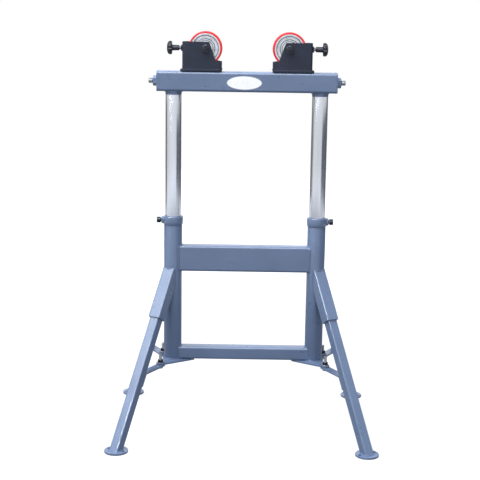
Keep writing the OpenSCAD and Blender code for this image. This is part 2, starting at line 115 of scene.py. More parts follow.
def deselect() -> None:
    """Leaves edit mode and deselects every object."""
    if bpy.context.mode != "OBJECT":
        bpy.ops.object.mode_set(mode="OBJECT")
    bpy.ops.object.select_all(action="DESELECT")


def take(thing: Thing) -> None:
    """Makes one object the only selected and active one.

    Args:
        thing: Object to work on.
    """
    deselect()
    thing.select_set(True)
    bpy.context.view_layer.objects.active = thing


def open_up(thing: Thing) -> Thing:
    """Takes an object into edit mode with its whole mesh selected.

    Args:
        thing: Object to open.

    Returns:
        The same object.
    """
    take(thing)
    bpy.ops.object.mode_set(mode="EDIT")
    bpy.ops.mesh.select_all(action="SELECT")
    return thing


def settle(thing: Thing, place: Matrix | None = None) -> Thing:
    """Moves an object's place into its mesh, so that it sits at the origin.

    Args:
        thing: Object to settle.
        place: Extra transform to give it first.

    Returns:
        The same object.
    """
    take(thing)
    if place is not None:
        thing.matrix_world = place @ thing.matrix_world
    bpy.ops.object.transform_apply(location=True, rotation=True, scale=True)
    return thing


def shift(x: float = 0.0, y: float = 0.0, z: float = 0.0) -> Matrix:
    """Move by millimetres, as a matrix."""
    return Matrix.Translation((x * MM, y * MM, z * MM))


def spun(angle: float) -> Matrix:
    """Turn about Z, as a matrix."""
    return Matrix.Rotation(angle, 4, "Z")


def aim(axis: Spot, at: Spot = (0, 0, 0)) -> Matrix:
    """Matrix that turns +Z to an axis and moves the origin to a place in millimetres."""
    return shift(*at) @ Vector(axis).to_track_quat("Z", "Y").to_matrix().to_4x4()


def edit(thing: Thing, kind: Select, test: Callable[[Vector, Vector], bool]) -> None:
    """Opens edit mode with some edges or faces selected.

    Args:
        thing: Object to edit.
        kind: Whether edges or faces are picked.
        test: Says by middle and direction (an edge's run or a face's normal) what is picked.
    """
    take(thing)
    bpy.ops.object.mode_set(mode="EDIT")
    bpy.ops.mesh.select_mode(type=kind.value)
    bpy.ops.mesh.select_all(action="DESELECT")
    mesh = bmesh.from_edit_mesh(thing.data)
    mesh.normal_update()
    if kind is Select.FACE:
        for face in mesh.faces:
            face.select_set(test(face.calc_center_median(), face.normal))
    else:
        for edge in mesh.edges:
            ends = [v.co for v in edge.verts]
            edge.select_set(test((ends[0] + ends[1]) / 2, (ends[1] - ends[0]).normalized()))
    bmesh.update_edit_mesh(thing.data)


def round_edges(thing: Thing, axis: int, radius: float, segments: int, before: float = math.inf) -> None:
    """Rounds the edges that run along an axis, given by its index, and lie before a place on X."""
    edit(thing, Select.EDGE, lambda mid, way: abs(way[axis]) > ALONG and mid.x < before * MM)
    bpy.ops.mesh.bevel(offset=radius * MM, segments=segments, affect="EDGES")


def apply_modifier(thing: Thing, kind: str, **settings: object) -> Thing:
    """Adds a modifier, sets it and applies it.

    Args:
        thing: Object that gets it.
        kind: Modifier type.
        **settings: Values to set on it.

    Returns:
        The same object.
    """
    take(thing)
    bpy.ops.object.modifier_add(type=kind)
    modifier = thing.modifiers[-1]
    for key, value in settings.items():
        setattr(modifier, key, value)
    bpy.ops.object.modifier_apply(modifier=modifier.name)
    return thing


def smooth(thing: Thing, angle: float = SMOOTH) -> Thing:
    """Shades a piece smooth up to an angle, with its large faces kept flat.

    Args:
        thing: Object to shade.
        angle: Sharpest angle, in degrees, that counts as smooth.

    Returns:
        The same object.
    """
    take(thing)
    bpy.ops.object.shade_smooth_by_angle(angle=math.radians(angle))
    return apply_modifier(thing, "WEIGHTED_NORMAL", keep_sharp=True)


def ease(thing: Thing, width: float, segments: int = 2, angle: float = SMOOTH) -> Thing:
    """Breaks the edges that are sharper than an angle to a width, and smooths the shading."""
    apply_modifier(thing, "BEVEL", width=width * MM, segments=segments,
                   limit_method="ANGLE", angle_limit=math.radians(angle))
    return smooth(thing, angle)


def carve(thing: Thing, tool: Thing, common: bool = False) -> Thing:
    """Cuts an object with another, which is then removed.

    Args:
        thing: Object to cut.
        tool: Cutting body.
        common: Whether only what both share stays.

    Returns:
        The cut object.
    """
    apply_modifier(thing, "BOOLEAN", operation="INTERSECT" if common else "DIFFERENCE", object=tool,
                   solver="EXACT")
    bpy.data.objects.remove(tool, do_unlink=True)
    return thing


def drill(thing: Thing, radius: float, span: Flat, x: float = 0.0, y: float = 0.0, sides: int = CUT) -> Thing:
    """Cuts an upright round hole that passes a span of heights."""
    return carve(thing, rod(radius, span[1] - span[0] + 2 * OVER, shift(x, y, span[0] - OVER), sides))


def box(size: Spot, at: Spot) -> Thing:
    """Box primitive.

    Args:
        size: Size, in millimetres.
        at: Its middle.

    Returns:
        The box.
    """
    deselect()
    bpy.ops.mesh.primitive_cube_add(size=1.0, location=[c * MM for c in at])
    thing = bpy.context.active_object
    thing.scale = [s * MM for s in size]
    return settle(thing)


def rod(radius: float, length: float, place: Matrix, sides: int) -> Thing:
    """Cylinder primitive that runs up Z from the place's origin.

    Args:
        radius: Radius, in millimetres.
        length: Length, in millimetres.
        place: Where it goes.
        sides: Facets round it.

    Returns:
        The cylinder.
    """
    deselect()
    bpy.ops.mesh.primitive_cylinder_add(vertices=sides, radius=radius * MM, depth=length * MM,
                                        location=(0, 0, length / 2 * MM))
    return settle(bpy.context.active_object, place)


def line(points: Sequence[Spot]) -> Thing:
    """Draws a line by extruding one vertex from point to point, and leaves edit mode on.

    Args:
        points: Points in millimetres.

    Returns:
        The object that holds the line, all selected.
    """
    deselect()
    bpy.ops.mesh.primitive_plane_add(size=MM, location=[c * MM for c in points[0]])
    thing = open_up(settle(bpy.context.active_object))
    bpy.ops.mesh.select_mode(type="VERT")
    bpy.ops.mesh.merge(type="CENTER")
    for here, there in zip(points, points[1:]):
        step = (Vector(there) - Vector(here)) * MM
        bpy.ops.mesh.extrude_region_move(TRANSFORM_OT_translate={"value": step})
    bpy.ops.mesh.select_all(action="SELECT")
    return thing


def close_up(thing: Thing) -> Thing:
    """Merges doubles, turns the faces outwards and leaves edit mode.

    Args:
        thing: Object in edit mode.

    Returns:
        The same object.
    """
    bpy.ops.mesh.select_all(action="SELECT")
    bpy.ops.mesh.remove_doubles(threshold=MERGE)
    bpy.ops.mesh.normals_make_consistent(inside=False)
    bpy.ops.object.mode_set(mode="OBJECT")
    return thing


def turned(profile: Sequence[Flat], place: Matrix, steps: int, angle: float = SMOOTH) -> Thing:
    """Turns a profile about Z, as on a lathe.

    Args:
        profile: Pairs of height along the axis and radius, in millimetres.
        place: Where the turned piece goes.
        steps: Facets round it.
        angle: Sharpest angle, in degrees, that shades smooth.

    Returns:
        The turned piece.
    """
    thing = line([(radius, 0, height) for height, radius in profile])
    bpy.ops.mesh.spin(steps=steps, angle=TURN, center=(0, 0, 0), axis=(0, 0, 1))
    settle(close_up(thing), place)
    bpy.ops.object.shade_smooth_by_angle(angle=math.radians(angle))
    return thing


def ring(inner: float, outer: float, low: float, high: float, edge: float = 0.6) -> list[Flat]:
    """Closed profile, as heights and radii, of a ring whose outer edges are broken by a width."""
    nick = 0.3 * edge
    return [(low, inner), (low, outer - edge), (low + nick, outer - nick), (low + edge, outer),
            (high - edge, outer), (high - nick, outer - nick), (high, outer - edge), (high, inner),
            (low, inner)]


def screw_tip(back: float, blunt: float, chamfer: float, radius: float, end: float) -> list[Flat]:
    """Profile of a screw's tip: a pin that turns in the pad's back, a blunt shoulder and the shank."""
    pin, pin_r, play = 2, 2.5, 0.3
    return [(back - pin, 0), (back - pin, pin_r), (back + play, pin_r), (back + play, blunt),
            (back + chamfer, radius), (end, radius), (end, 0)]


def pressed(outline: Sequence[Flat], depth: float, place: Matrix) -> Thing:
    """Fills a flat outline and extrudes it up Z.

    Args:
        outline: Points in order round the outline, in millimetres.
        depth: Thickness.
        place: Where it goes.

    Returns:
        The plate.
    """
    thing = line([(x, y, 0) for x, y in outline])
    bpy.ops.mesh.edge_face_add()
    bpy.ops.mesh.extrude_region_move(TRANSFORM_OT_translate={"value": (0, 0, depth * MM)})
    return settle(close_up(thing), place)


def fillet(points: Sequence[Flat], radii: Sequence[float], steps: int = 5) -> list[Flat]:
    """Turns the corners of an outline into arcs.

    Args:
        points: Corners in order.
        radii: Radius at each corner, or 0 to leave it sharp.
        steps: Pieces in each arc.

    Returns:
        The outline with its arcs.
    """
    out: list[Flat] = []
    for i, (point, radius) in enumerate(zip(points, radii)):
        here = Vector(point)
        if radius <= 0:
            out.append(point)
            continue
        back = (Vector(points[i - 1]) - here).normalized()
        ahead = (Vector(points[(i + 1) % len(points)]) - here).normalized()
        half = back.angle(ahead) / 2
        middle = here + (back + ahead).normalized() * (radius / math.sin(half))
        first, last = [here + way * (radius / math.tan(half)) - middle for way in (back, ahead)]
        start = math.atan2(first.y, first.x)
        sweep = (math.atan2(last.y, last.x) - start + math.pi) % TURN - math.pi
        out += [(middle.x + radius * math.cos(start + sweep * k / steps),
                 middle.y + radius * math.sin(start + sweep * k / steps)) for k in range(steps + 1)]
    return out


def rounded_square(width: float, height: float, radius: float, steps: int = 5) -> list[Flat]:
    """Outline of a rectangle with round corners about the origin."""
    w, h = width / 2, height / 2
    return fillet([(w, h), (-w, h), (-w, -h), (w, -h)], [radius] * 4, steps)


def circle(radius: float, count: int) -> list[Flat]:
    """Points round a circle about the origin."""
    return [(radius * math.cos(k * TURN / count), radius * math.sin(k * TURN / count)) for k in range(count)]


def spread(path: Sequence[Spot], step: float, closed: bool) -> list[Vector]:
    """Spaces points evenly along a path.

    Args:
        path: Points in millimetres.
        step: Wanted spacing.
        closed: Whether the path runs back to its start.

    Returns:
        The evenly spaced points.
    """
    points = [Vector(p) for p in path] + ([Vector(path[0])] if closed else [])
    runs = [(b - a).length for a, b in zip(points, points[1:])]
    fewest = 8
    count = max(fewest, round(sum(runs) / step))
    out, done, leg = [], 0.0, 0
    for k in range(count if closed else count + 1):
        target = sum(runs) * k / count
        while leg < len(runs) - 1 and done + runs[leg] < target:
            done += runs[leg]
            leg += 1
        share = (target - done) / runs[leg] if runs[leg] else 0.0
        out.append(points[leg].lerp(points[leg + 1], min(share, 1.0)))
    return out


def dense(outline: Sequence[Flat]) -> list[Flat]:
    """Close points round a flat outline, so that it can be laid on a tube."""
    return [(p.x, p.y) for p in spread([(*spot, 0) for spot in outline], SEAM_STEP, True)]


def bead(path: Sequence[Spot], radius: float, closed: bool = True) -> Thing:
    """Lays a rippled weld bead along a path.

    Args:
        path: Points along the seam, in millimetres.
        radius: Radius of the bead, in millimetres.
        closed: Whether the seam runs back to its start.

    Returns:
        The bead as a mesh.
    """
    points = spread(path, BEAD_STEP * radius, closed)
    deselect()
    bpy.ops.curve.primitive_nurbs_path_add()
    curve = bpy.context.active_object.data
    curve.splines.clear()
    spline = curve.splines.new("POLY")
    spline.points.add(len(points) - 1)
    for k, (vertex, point) in enumerate(zip(spline.points, points)):
        vertex.co = (*(point * MM), 1.0)
        vertex.radius = 1 + RIPPLE * math.cos(TURN * k / RIPPLE_POINTS) + DRIFT * math.sin(DRIFT_RATE * k)
    spline.use_cyclic_u = closed
    curve.bevel_depth = radius * MM
    curve.bevel_resolution = 2
    curve.use_fill_caps = True
    bpy.ops.object.convert(target="MESH")
    bpy.ops.object.shade_smooth()
    return bpy.context.active_object


def thread(radius: float, pitch: float, length: float, place: Matrix) -> Thing:
    """Cuts a length of screw thread that runs up Z from the place's origin.

    Args:
        radius: Outside radius, in millimetres.
        pitch: Rise of one turn.
        length: Length between its two flat ends.
        place: Where it goes.

    Returns:
        The threaded length.
    """
    depth, half_crest, spare_turns, steps, angle = 0.61, 0.05, 4, 24, 30
    root = radius - depth * pitch
    thing = line([(root, 0, -2 * pitch), (radius, 0, -(1.5 + half_crest) * pitch),
                  (radius, 0, -(1.5 - half_crest) * pitch), (root, 0, -pitch)])
    bpy.ops.object.mode_set(mode="OBJECT")
    apply_modifier(thing, "SCREW", axis="Z", screw_offset=pitch * MM, angle=TURN, steps=steps,
                   render_steps=steps, iterations=math.ceil(length / pitch) + spare_turns,
                   use_merge_vertices=True, merge_threshold=MERGE)
    for height, inner in ((0.0, True), (length, False)):
        open_up(thing)
        bpy.ops.mesh.bisect(plane_co=(0, 0, height * MM), plane_no=(0, 0, 1), use_fill=True,
                            clear_inner=inner, clear_outer=not inner)
        close_up(thing)
    settle(thing, place)
    bpy.ops.object.shade_smooth_by_angle(angle=math.radians(angle))
    return thing


def across(thread_d: float) -> float:
    """Width across the flats of the hexagon that goes with a thread."""
    return 1.5 * thread_d + 1


def hexagon(flats: float, thick: float, place: Matrix, bore: float = 0.0) -> Thing:
    """Makes a hexagon nut or bolt head with turned-off corners, up Z from the place's origin.

    Args:
        flats: Width across the flats, in millimetres.
        thick: Thickness.
        place: Where it goes.
        bore: Radius of the hole, or 0 for a bolt head.

    Returns:
        The hexagon.
    """
    corner, chamfer, slope, out = flats / math.sqrt(3), 0.47 * flats, 1.73, 0.01
    rise = (corner - chamfer) / slope
    thing = rod(corner, thick, Matrix(), sides=6)
    barrel = [(-1, 0), (-1, chamfer - slope), (rise, corner + out), (thick - rise, corner + out),
              (thick + 1, chamfer - slope), (thick + 1, 0)]
    carve(thing, turned(barrel, Matrix(), DISC), common=True)
    if bore:
        drill(thing, bore, (0, thick), sides=HOLE)
    return ease(settle(thing, place), width=0.25, segments=1, angle=25)


def gathered(name: str, parts: Sequence[Thing]) -> Thing:
    """Joins parts into one named object.

    Args:
        name: Its name.
        parts: Objects to join.

    Returns:
        The joined object.
    """
    take(parts[0])
    for part in parts:
        part.select_set(True)
    if len(parts) > 1:
        bpy.ops.object.join()
    thing = bpy.context.active_object
    thing.name = name
    thing.data.name = name
    return thing


def copied(model: Thing, places: Sequence[Matrix]) -> list[Thing]:
    """Copies a model to several places, each copy with its own mesh, and removes the model.

    Args:
        model: Object modelled once.
        places: Where the copies go.

    Returns:
        The copies.
    """
    out = []
    for place in places:
        thing = model.copy()
        thing.data = model.data.copy()
        bpy.context.scene.collection.objects.link(thing)
        out.append(settle(thing, place))
    bpy.data.objects.remove(model, do_unlink=True)
    return out


def eased_node(node: str, width: float, segments: int = 2) -> Thing:
    """Copies a CAD node, merges its loose triangles and breaks its edges.

    Args:
        node: Name of the node.
        width: Width of the broken edges, in millimetres.
        segments: Facets across them.

    Returns:
        The finished copy.
    """
    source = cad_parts[node]
    thing = source.copy()
    thing.data = source.data.copy()
    thing.parent = None
    for key in list(thing.keys()):
        del thing[key]
    bpy.context.scene.collection.objects.link(thing)
    take(thing)
    bpy.ops.mesh.customdata_custom_splitnormals_clear()
    open_up(thing)
    bpy.ops.mesh.remove_doubles(threshold=MERGE)
    flat = 0.5
    bpy.ops.mesh.dissolve_limited(angle_limit=math.radians(flat))
    bpy.ops.object.mode_set(mode="OBJECT")
    return ease(thing, width, segments)


# Finishes: each starts from the real material and how its surface was made.


def linear(code: str) -> tuple[float, float, float, float]:
    """Turns an sRGB hex colour such as #6B7D9E into linear RGBA."""
    parts = [int(code[i:i + 2], 16) / 255 for i in (1, 3, 5)]
    return (*[c / 12.92 if c <= 0.04045 else ((c + 0.055) / 1.055) ** 2.4 for c in parts], 1.0)


def add_node(tree: Tree, kind: str, links: dict | None = None, values: dict | None = None,
             **settings: object) -> bpy.types.Node:
    """Adds a node with its settings, input values and links.

    Args:
        tree: Node tree that gets it.
        kind: Node type.
        links: Input names and the sockets that feed them.
        values: Input names and their fixed values.
        **settings: Properties of the node.

    Returns:
        The node.
    """
    node = tree.nodes.new(kind)
    for key, value in settings.items():
        setattr(node, key, value)
    for key, value in (values or {}).items():
        node.inputs[key].default_value = value
    for key, socket in (links or {}).items():
        tree.links.new(socket, node.inputs[key])
    return node


@dataclass(frozen=True)
class Finish:
    """A surface finish. Two shades drift into each other, and a fine grain gives the bump.

    Lengths are in millimetres: drift is the width of a patch of colour, grain that of a bump.
    """

    name: str
    slot: str
    light: str
    dark: str
    metallic: float = 0.0
    roughness: Flat = (0.3, 0.4)
    drift: float = 90.0
    grain: float = 4.0
    relief: float = 0.05
    stretch: Spot = (1.0, 1.0, 1.0)
    coat: float = 0.0
    coat_roughness: float = 0.08
    specular: float = 0.5
    middle: Spot = (0.0, 0.0, 0.0)

    @cached_property
    def material(self) -> bpy.types.Material:
        """Node material, made on first use.

        Returns:
            The material.
        """
        material = bpy.data.materials.new(self.name)
        material.use_nodes = True
        tree = material.node_tree
        shader = tree.nodes["Principled BSDF"]
        for key, value in (("Metallic", self.metallic), ("Coat Weight", self.coat),
                           ("Coat Roughness", self.coat_roughness), ("Specular IOR Level", self.specular)):
            shader.inputs[key].default_value = value
        spot = add_node(tree, "ShaderNodeTexCoord").outputs["Object"]
        place = add_node(tree, "ShaderNodeMapping", {"Vector": spot},
                         {"Location": [-c * MM for c in self.middle], "Scale": self.stretch}).outputs[0]
        self.paint(tree, shader, place)
        bump = add_node(tree, "ShaderNodeBump", {"Height": self.height(tree, place)},
                        {"Strength": self.relief, "Distance": MM})
        tree.links.new(bump.outputs["Normal"], shader.inputs["Normal"])
        return material

    def paint(self, tree: Tree, shader: bpy.types.Node, place: Socket) -> None:
        """Feeds base colour and roughness, each from a noise with its middle stretched out.

        Args:
            tree: Node tree.
            shader: Principled shader.
            place: Pattern coordinates.
        """
        levels = []
        for size, low, high in ((self.drift, 0.0, 1.0), (self.drift / 3, *self.roughness)):
            noise = add_node(tree, "ShaderNodeTexNoise", {"Vector": place},
                             {"Scale": 1 / (size * MM), "Detail": 2.0}).outputs["Fac"]
            level = add_node(tree, "ShaderNodeMapRange", {"Value": noise},
                             {"From Min": 0.3, "From Max": 0.7, "To Min": low, "To Max": high})
            levels.append(level.outputs[0])
        colour = add_node(tree, "ShaderNodeMix", {0: levels[0]},
                          {6: linear(self.dark), 7: linear(self.light)}, data_type="RGBA")
        tree.links.new(colour.outputs[2], shader.inputs["Base Color"])
        tree.links.new(levels[1], shader.inputs["Roughness"])

    def height(self, tree: Tree, place: Socket) -> Socket:
        """Fine grain that feeds the bump."""
        return add_node(tree, "ShaderNodeTexNoise", {"Vector": place},
                        {"Scale": 1 / (self.grain * MM), "Detail": 3.0}).outputs["Fac"]


@dataclass(frozen=True)
class TurnedFinish(Finish):
    """A finish with concentric tool marks about an axle that runs along Y.

    The marks' real pitch of 0.3 mm is drawn coarser to show. Each groove is a radius darkened as painted
    shade, dark to the first width and unshaded from the second.
    """

    pitch: float = 2.4
    grooves: tuple[float, ...] = ()
    groove_widths: Flat = (0.5, 1.5)
    # Brightness that the painted shade leaves at the bottom of a groove.
    grease: float = 0.16

    def paint(self, tree: Tree, shader: bpy.types.Node, place: Socket) -> None:
        """Feeds colour and roughness, with painted shade darkening the grooves round the axle.

        Args:
            tree: Node tree.
            shader: Principled shader.
            place: Pattern coordinates, centred on the axle.
        """
        super().paint(tree, shader, place)
        colour = shader.inputs["Base Color"].links[0].from_socket
        flat = add_node(tree, "ShaderNodeVectorMath", {0: place}, {1: (1, 0, 1)}, operation="MULTIPLY")
        length = add_node(tree, "ShaderNodeVectorMath", {0: flat.outputs[0]}, operation="LENGTH")
        far = length.outputs["Value"]
        dark, clear = [width * MM for width in self.groove_widths]
        # Painted shade: the base colour is darkened round each groove's radius.
        for radius in self.grooves:
            off = add_node(tree, "ShaderNodeMath", {0: far}, {1: radius * MM}, operation="SUBTRACT")
            near = add_node(tree, "ShaderNodeMath", {0: off.outputs[0]}, operation="ABSOLUTE").outputs[0]
            unshaded = add_node(tree, "ShaderNodeMapRange", {"Value": near},
                             {"From Min": dark, "From Max": clear, "To Min": self.grease}).outputs[0]
            colour = add_node(tree, "ShaderNodeMix", {6: colour, 7: unshaded}, {0: 1.0}, data_type="RGBA",
                              blend_type="MULTIPLY").outputs[2]
        tree.links.new(colour, shader.inputs["Base Color"])

    def height(self, tree: Tree, place: Socket) -> Socket:
        """Rings round the axle that feed the bump; a wave repeats 20 times in a turn of its scale."""
        return add_node(tree, "ShaderNodeTexWave", {"Vector": place},
                        {"Scale": TURN / (20 * self.pitch * MM), "Distortion": 0.6, "Detail": 2.0,
                         "Detail Scale": 3.0}, wave_type="RINGS", rings_direction="Y").outputs["Fac"]


# Baked alkyd enamel over steel: blue-grey, glossy, with a faint orange peel.
ENAMEL = Finish("baked_enamel", "frame_paint", "#607290", "#586A87", roughness=(0.26, 0.36), drift=110,
                grain=6, relief=0.03, coat=0.35, specular=0.4)
# Hard chrome on a ground tube: bright, with faint lengthwise streaks and a warm tarnish.
CHROME = Finish("hard_chrome", "chrome", "#D3D9E5", "#C6C9D0", metallic=1.0, roughness=(0.16, 0.26),
                drift=30, grain=3, relief=0.02, stretch=(1, 1, 0.06))
# Zinc plate: grey and a little patchy.
ZINC = Finish("zinc_plate", "zinc", "#C3C6CC", "#A9ACB4", metallic=1.0, roughness=(0.28, 0.42), drift=8,
              grain=1.5, relief=0.06)
# Black oxide on steel: dark, oily and half glossy.
OXIDE = Finish("black_oxide", "dark_steel", "#42464E", "#2C2F36", metallic=1.0, roughness=(0.2, 0.32),
               drift=9, grain=1.5)
# Black powder coat: near-black with a fine leathery grain.
POWDER = Finish("black_powder_coat", "black_coat", "#272C3C", "#222735", roughness=(0.42, 0.55), drift=45,
                grain=2.2, relief=0.09, specular=0.2)
# Cast urethane: saturated red, satin, marked by pipes along its running face.
URETHANE = Finish("cast_urethane", "tread", "#DC1422", "#C8101B", roughness=(0.28, 0.4), drift=16, grain=5,
                  stretch=(1, 0.35, 1))
# Moulded black phenolic: deep blue-black with a soft gloss.
MOULDED = Finish("moulded_phenolic", "knob_plastic", "#181D2A", "#11151F", roughness=(0.34, 0.46), drift=14,
                 grain=1.2, relief=0.03, specular=0.4)
# Turned brass: warm yellow, softly bright.
BRASS = Finish("turned_brass", "brass", "#C7A564", "#B08D4B", metallic=1.0, roughness=(0.25, 0.4),
               drift=10, grain=1)
# Vinyl film: a blank white oval with a plain grey line round it.
VINYL = Finish("vinyl_film", "frame_paint", "#F4F4F6", "#EDEEF1", roughness=(0.25, 0.32), drift=40, grain=8,
               relief=0.01)
VINYL_LINE = replace(VINYL, name="vinyl_line", light="#B9BDC6", dark="#AEB3BD")
# Machined casting: silver-grey, half metallic, with tool rings and painted shade darkening its grooves.
CASTING = TurnedFinish("machined_casting", "cast_core", "#CACED6", "#B0B5BE", metallic=0.7,
                       roughness=(0.3, 0.44), drift=12, grain=1.5, relief=0.1)


def dress(name: str, parts: Sequence[Thing], body: str, finish: Finish, *nodes: str) -> None:
    """Joins parts into a finished piece and gives it its finish and its body.

    Args:
        name: Piece name.
        parts: Parts of the piece.
        body: CAD body that carries it.
        finish: Its surface.
        *nodes: CAD nodes that it stands for.
    """
    thing = gathered(name, parts)
    thing.data.materials.clear()
    thing.data.materials.append(finish.material)
    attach(thing, body)
    if nodes:
        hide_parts(*nodes)
    LOG.info("%s rides on %s, %d faces", thing.name, body, len(thing.data.polygons))


def keep(node: str, finish: Finish) -> None:
    """Gives a CAD node that stays in view its finish.

    Args:
        node: Name of the node.
        finish: Its surface.
    """
    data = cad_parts[node].data
    data.materials.clear()
    data.materials.append(finish.material)
    LOG.info("%s kept from the CAD frame", node)


@dataclass
class Levels:
    """Sizes that several sub-assemblies share. Sink is how far a welded end enters a tube's wall."""

    post_x: float = 220.0
    frame_z: float = 210.0
    tube_od: float = 55.0
    tube_id: float = 49.0
    collar_od: float = 60.0
    collar_top: float = 659.0
    beam_z: float = 1040.0
    beam_size: float = 60.0
    beam_mid: float = 1070.0
    axle_x: float = 125.0
    axle_z: float = 1168.0
    plate_top: float = 1106.0
    sink: float = 1.0


LEVELS = Levels()


@dataclass
class LowerFrame:
    """Two lower tubes with collars, two crossbars and two gusset plates, all welded.

    The collar and gusset beads are given by rise, stand-off from the tube and radius.
    """

    collar_h: float = 24.0
    collar_edge: float = 1.1
    collar_lap: float = 0.1
    bar_depth: float = 40.0
    bar_r: float = 7.0
    mid_span: Flat = (490.0, 570.0)
    low_span: Flat = (210.0, 250.0)
    bar_bead: float = 1.8
    bar_bead_out: float = 0.4
    bar_bead_lap: float = 1.0
    collar_bead: Spot = (-0.2, 0.3, 1.0)
    gusset_bead: Spot = (0.8, 0.7, 1.8)

    def build(self) -> None:
        """Builds every piece of the lower frame."""
        for side in Side:
            self.tube(side)
        self.bar("upper_crossbar", "mid_bar", self.mid_span)
        self.bar("lower_crossbar", "low_bar", self.low_span)
        self.seams()

    def tube(self, side: Side) -> None:
        """Builds a lower tube, its collar and its gusset plate.

        Args:
            side: Which post.
        """
        at = shift(side.value * LEVELS.post_x)
        outer, top, lap = LEVELS.tube_od / 2, LEVELS.collar_top, self.collar_lap
        tube = turned(ring(LEVELS.tube_id / 2, outer, LEVELS.frame_z, top), at, TUBE)
        collar = turned(ring(outer - lap, LEVELS.collar_od / 2, top - self.collar_h, top + lap,
                             self.collar_edge), at, TUBE)
        plate = eased_node(f"gusset_{side.letter}", width=0.8)
        for name, piece, node in (("lower_tube", tube, "outer_tube"), ("tube_collar", collar, "collar"),
                                  ("gusset_plate", plate, "gusset")):
            dress(f"{name}_{side.tag}", [piece], "frame", ENAMEL, f"{node}_{side.letter}")

    def bar(self, name: str, node: str, span: Flat) -> None:
        """Builds a crossbar from a box: its long edges rounded, its ends coped into the tubes.

        Args:
            name: Piece name.
            node: CAD node that it stands for.
            span: Lower and upper height.
        """
        bar = box((2 * LEVELS.post_x, self.bar_depth, span[1] - span[0]), (0, 0, sum(span) / 2))
        round_edges(bar, 0, self.bar_r, segments=6)
        for side in Side:
            drill(bar, LEVELS.tube_od / 2 - LEVELS.sink, span, side.value * LEVELS.post_x)
        ease(bar, width=0.3, segments=1)
        dress(name, [bar], "frame", ENAMEL, node)

    def seams(self) -> None:
        """Lays the weld beads of the frame: bar ends, collars and gusset plates."""
        radius, lap = LEVELS.tube_od / 2, self.bar_bead_lap
        low_end = LEVELS.collar_top - self.collar_h
        beads = []
        for side in Side:
            for low, high in (self.mid_span, self.low_span):
                path = []
                for y, z in dense(rounded_square(self.bar_depth + lap, high - low + lap, self.bar_r)):
                    x = LEVELS.post_x - math.sqrt(radius ** 2 - y * y) - self.bar_bead_out
                    path.append((side.value * x, y, z + (low + high) / 2))
                beads.append(bead(path, self.bar_bead))
            for foot, (rise, out, size) in ((low_end, self.collar_bead), (LEVELS.frame_z, self.gusset_bead)):
                beads.append(bead([(side.value * LEVELS.post_x + x, y, foot + rise)
                                   for x, y in circle(radius + out, DISC)], size))
        dress("frame_weld_beads", beads, "frame", ENAMEL)


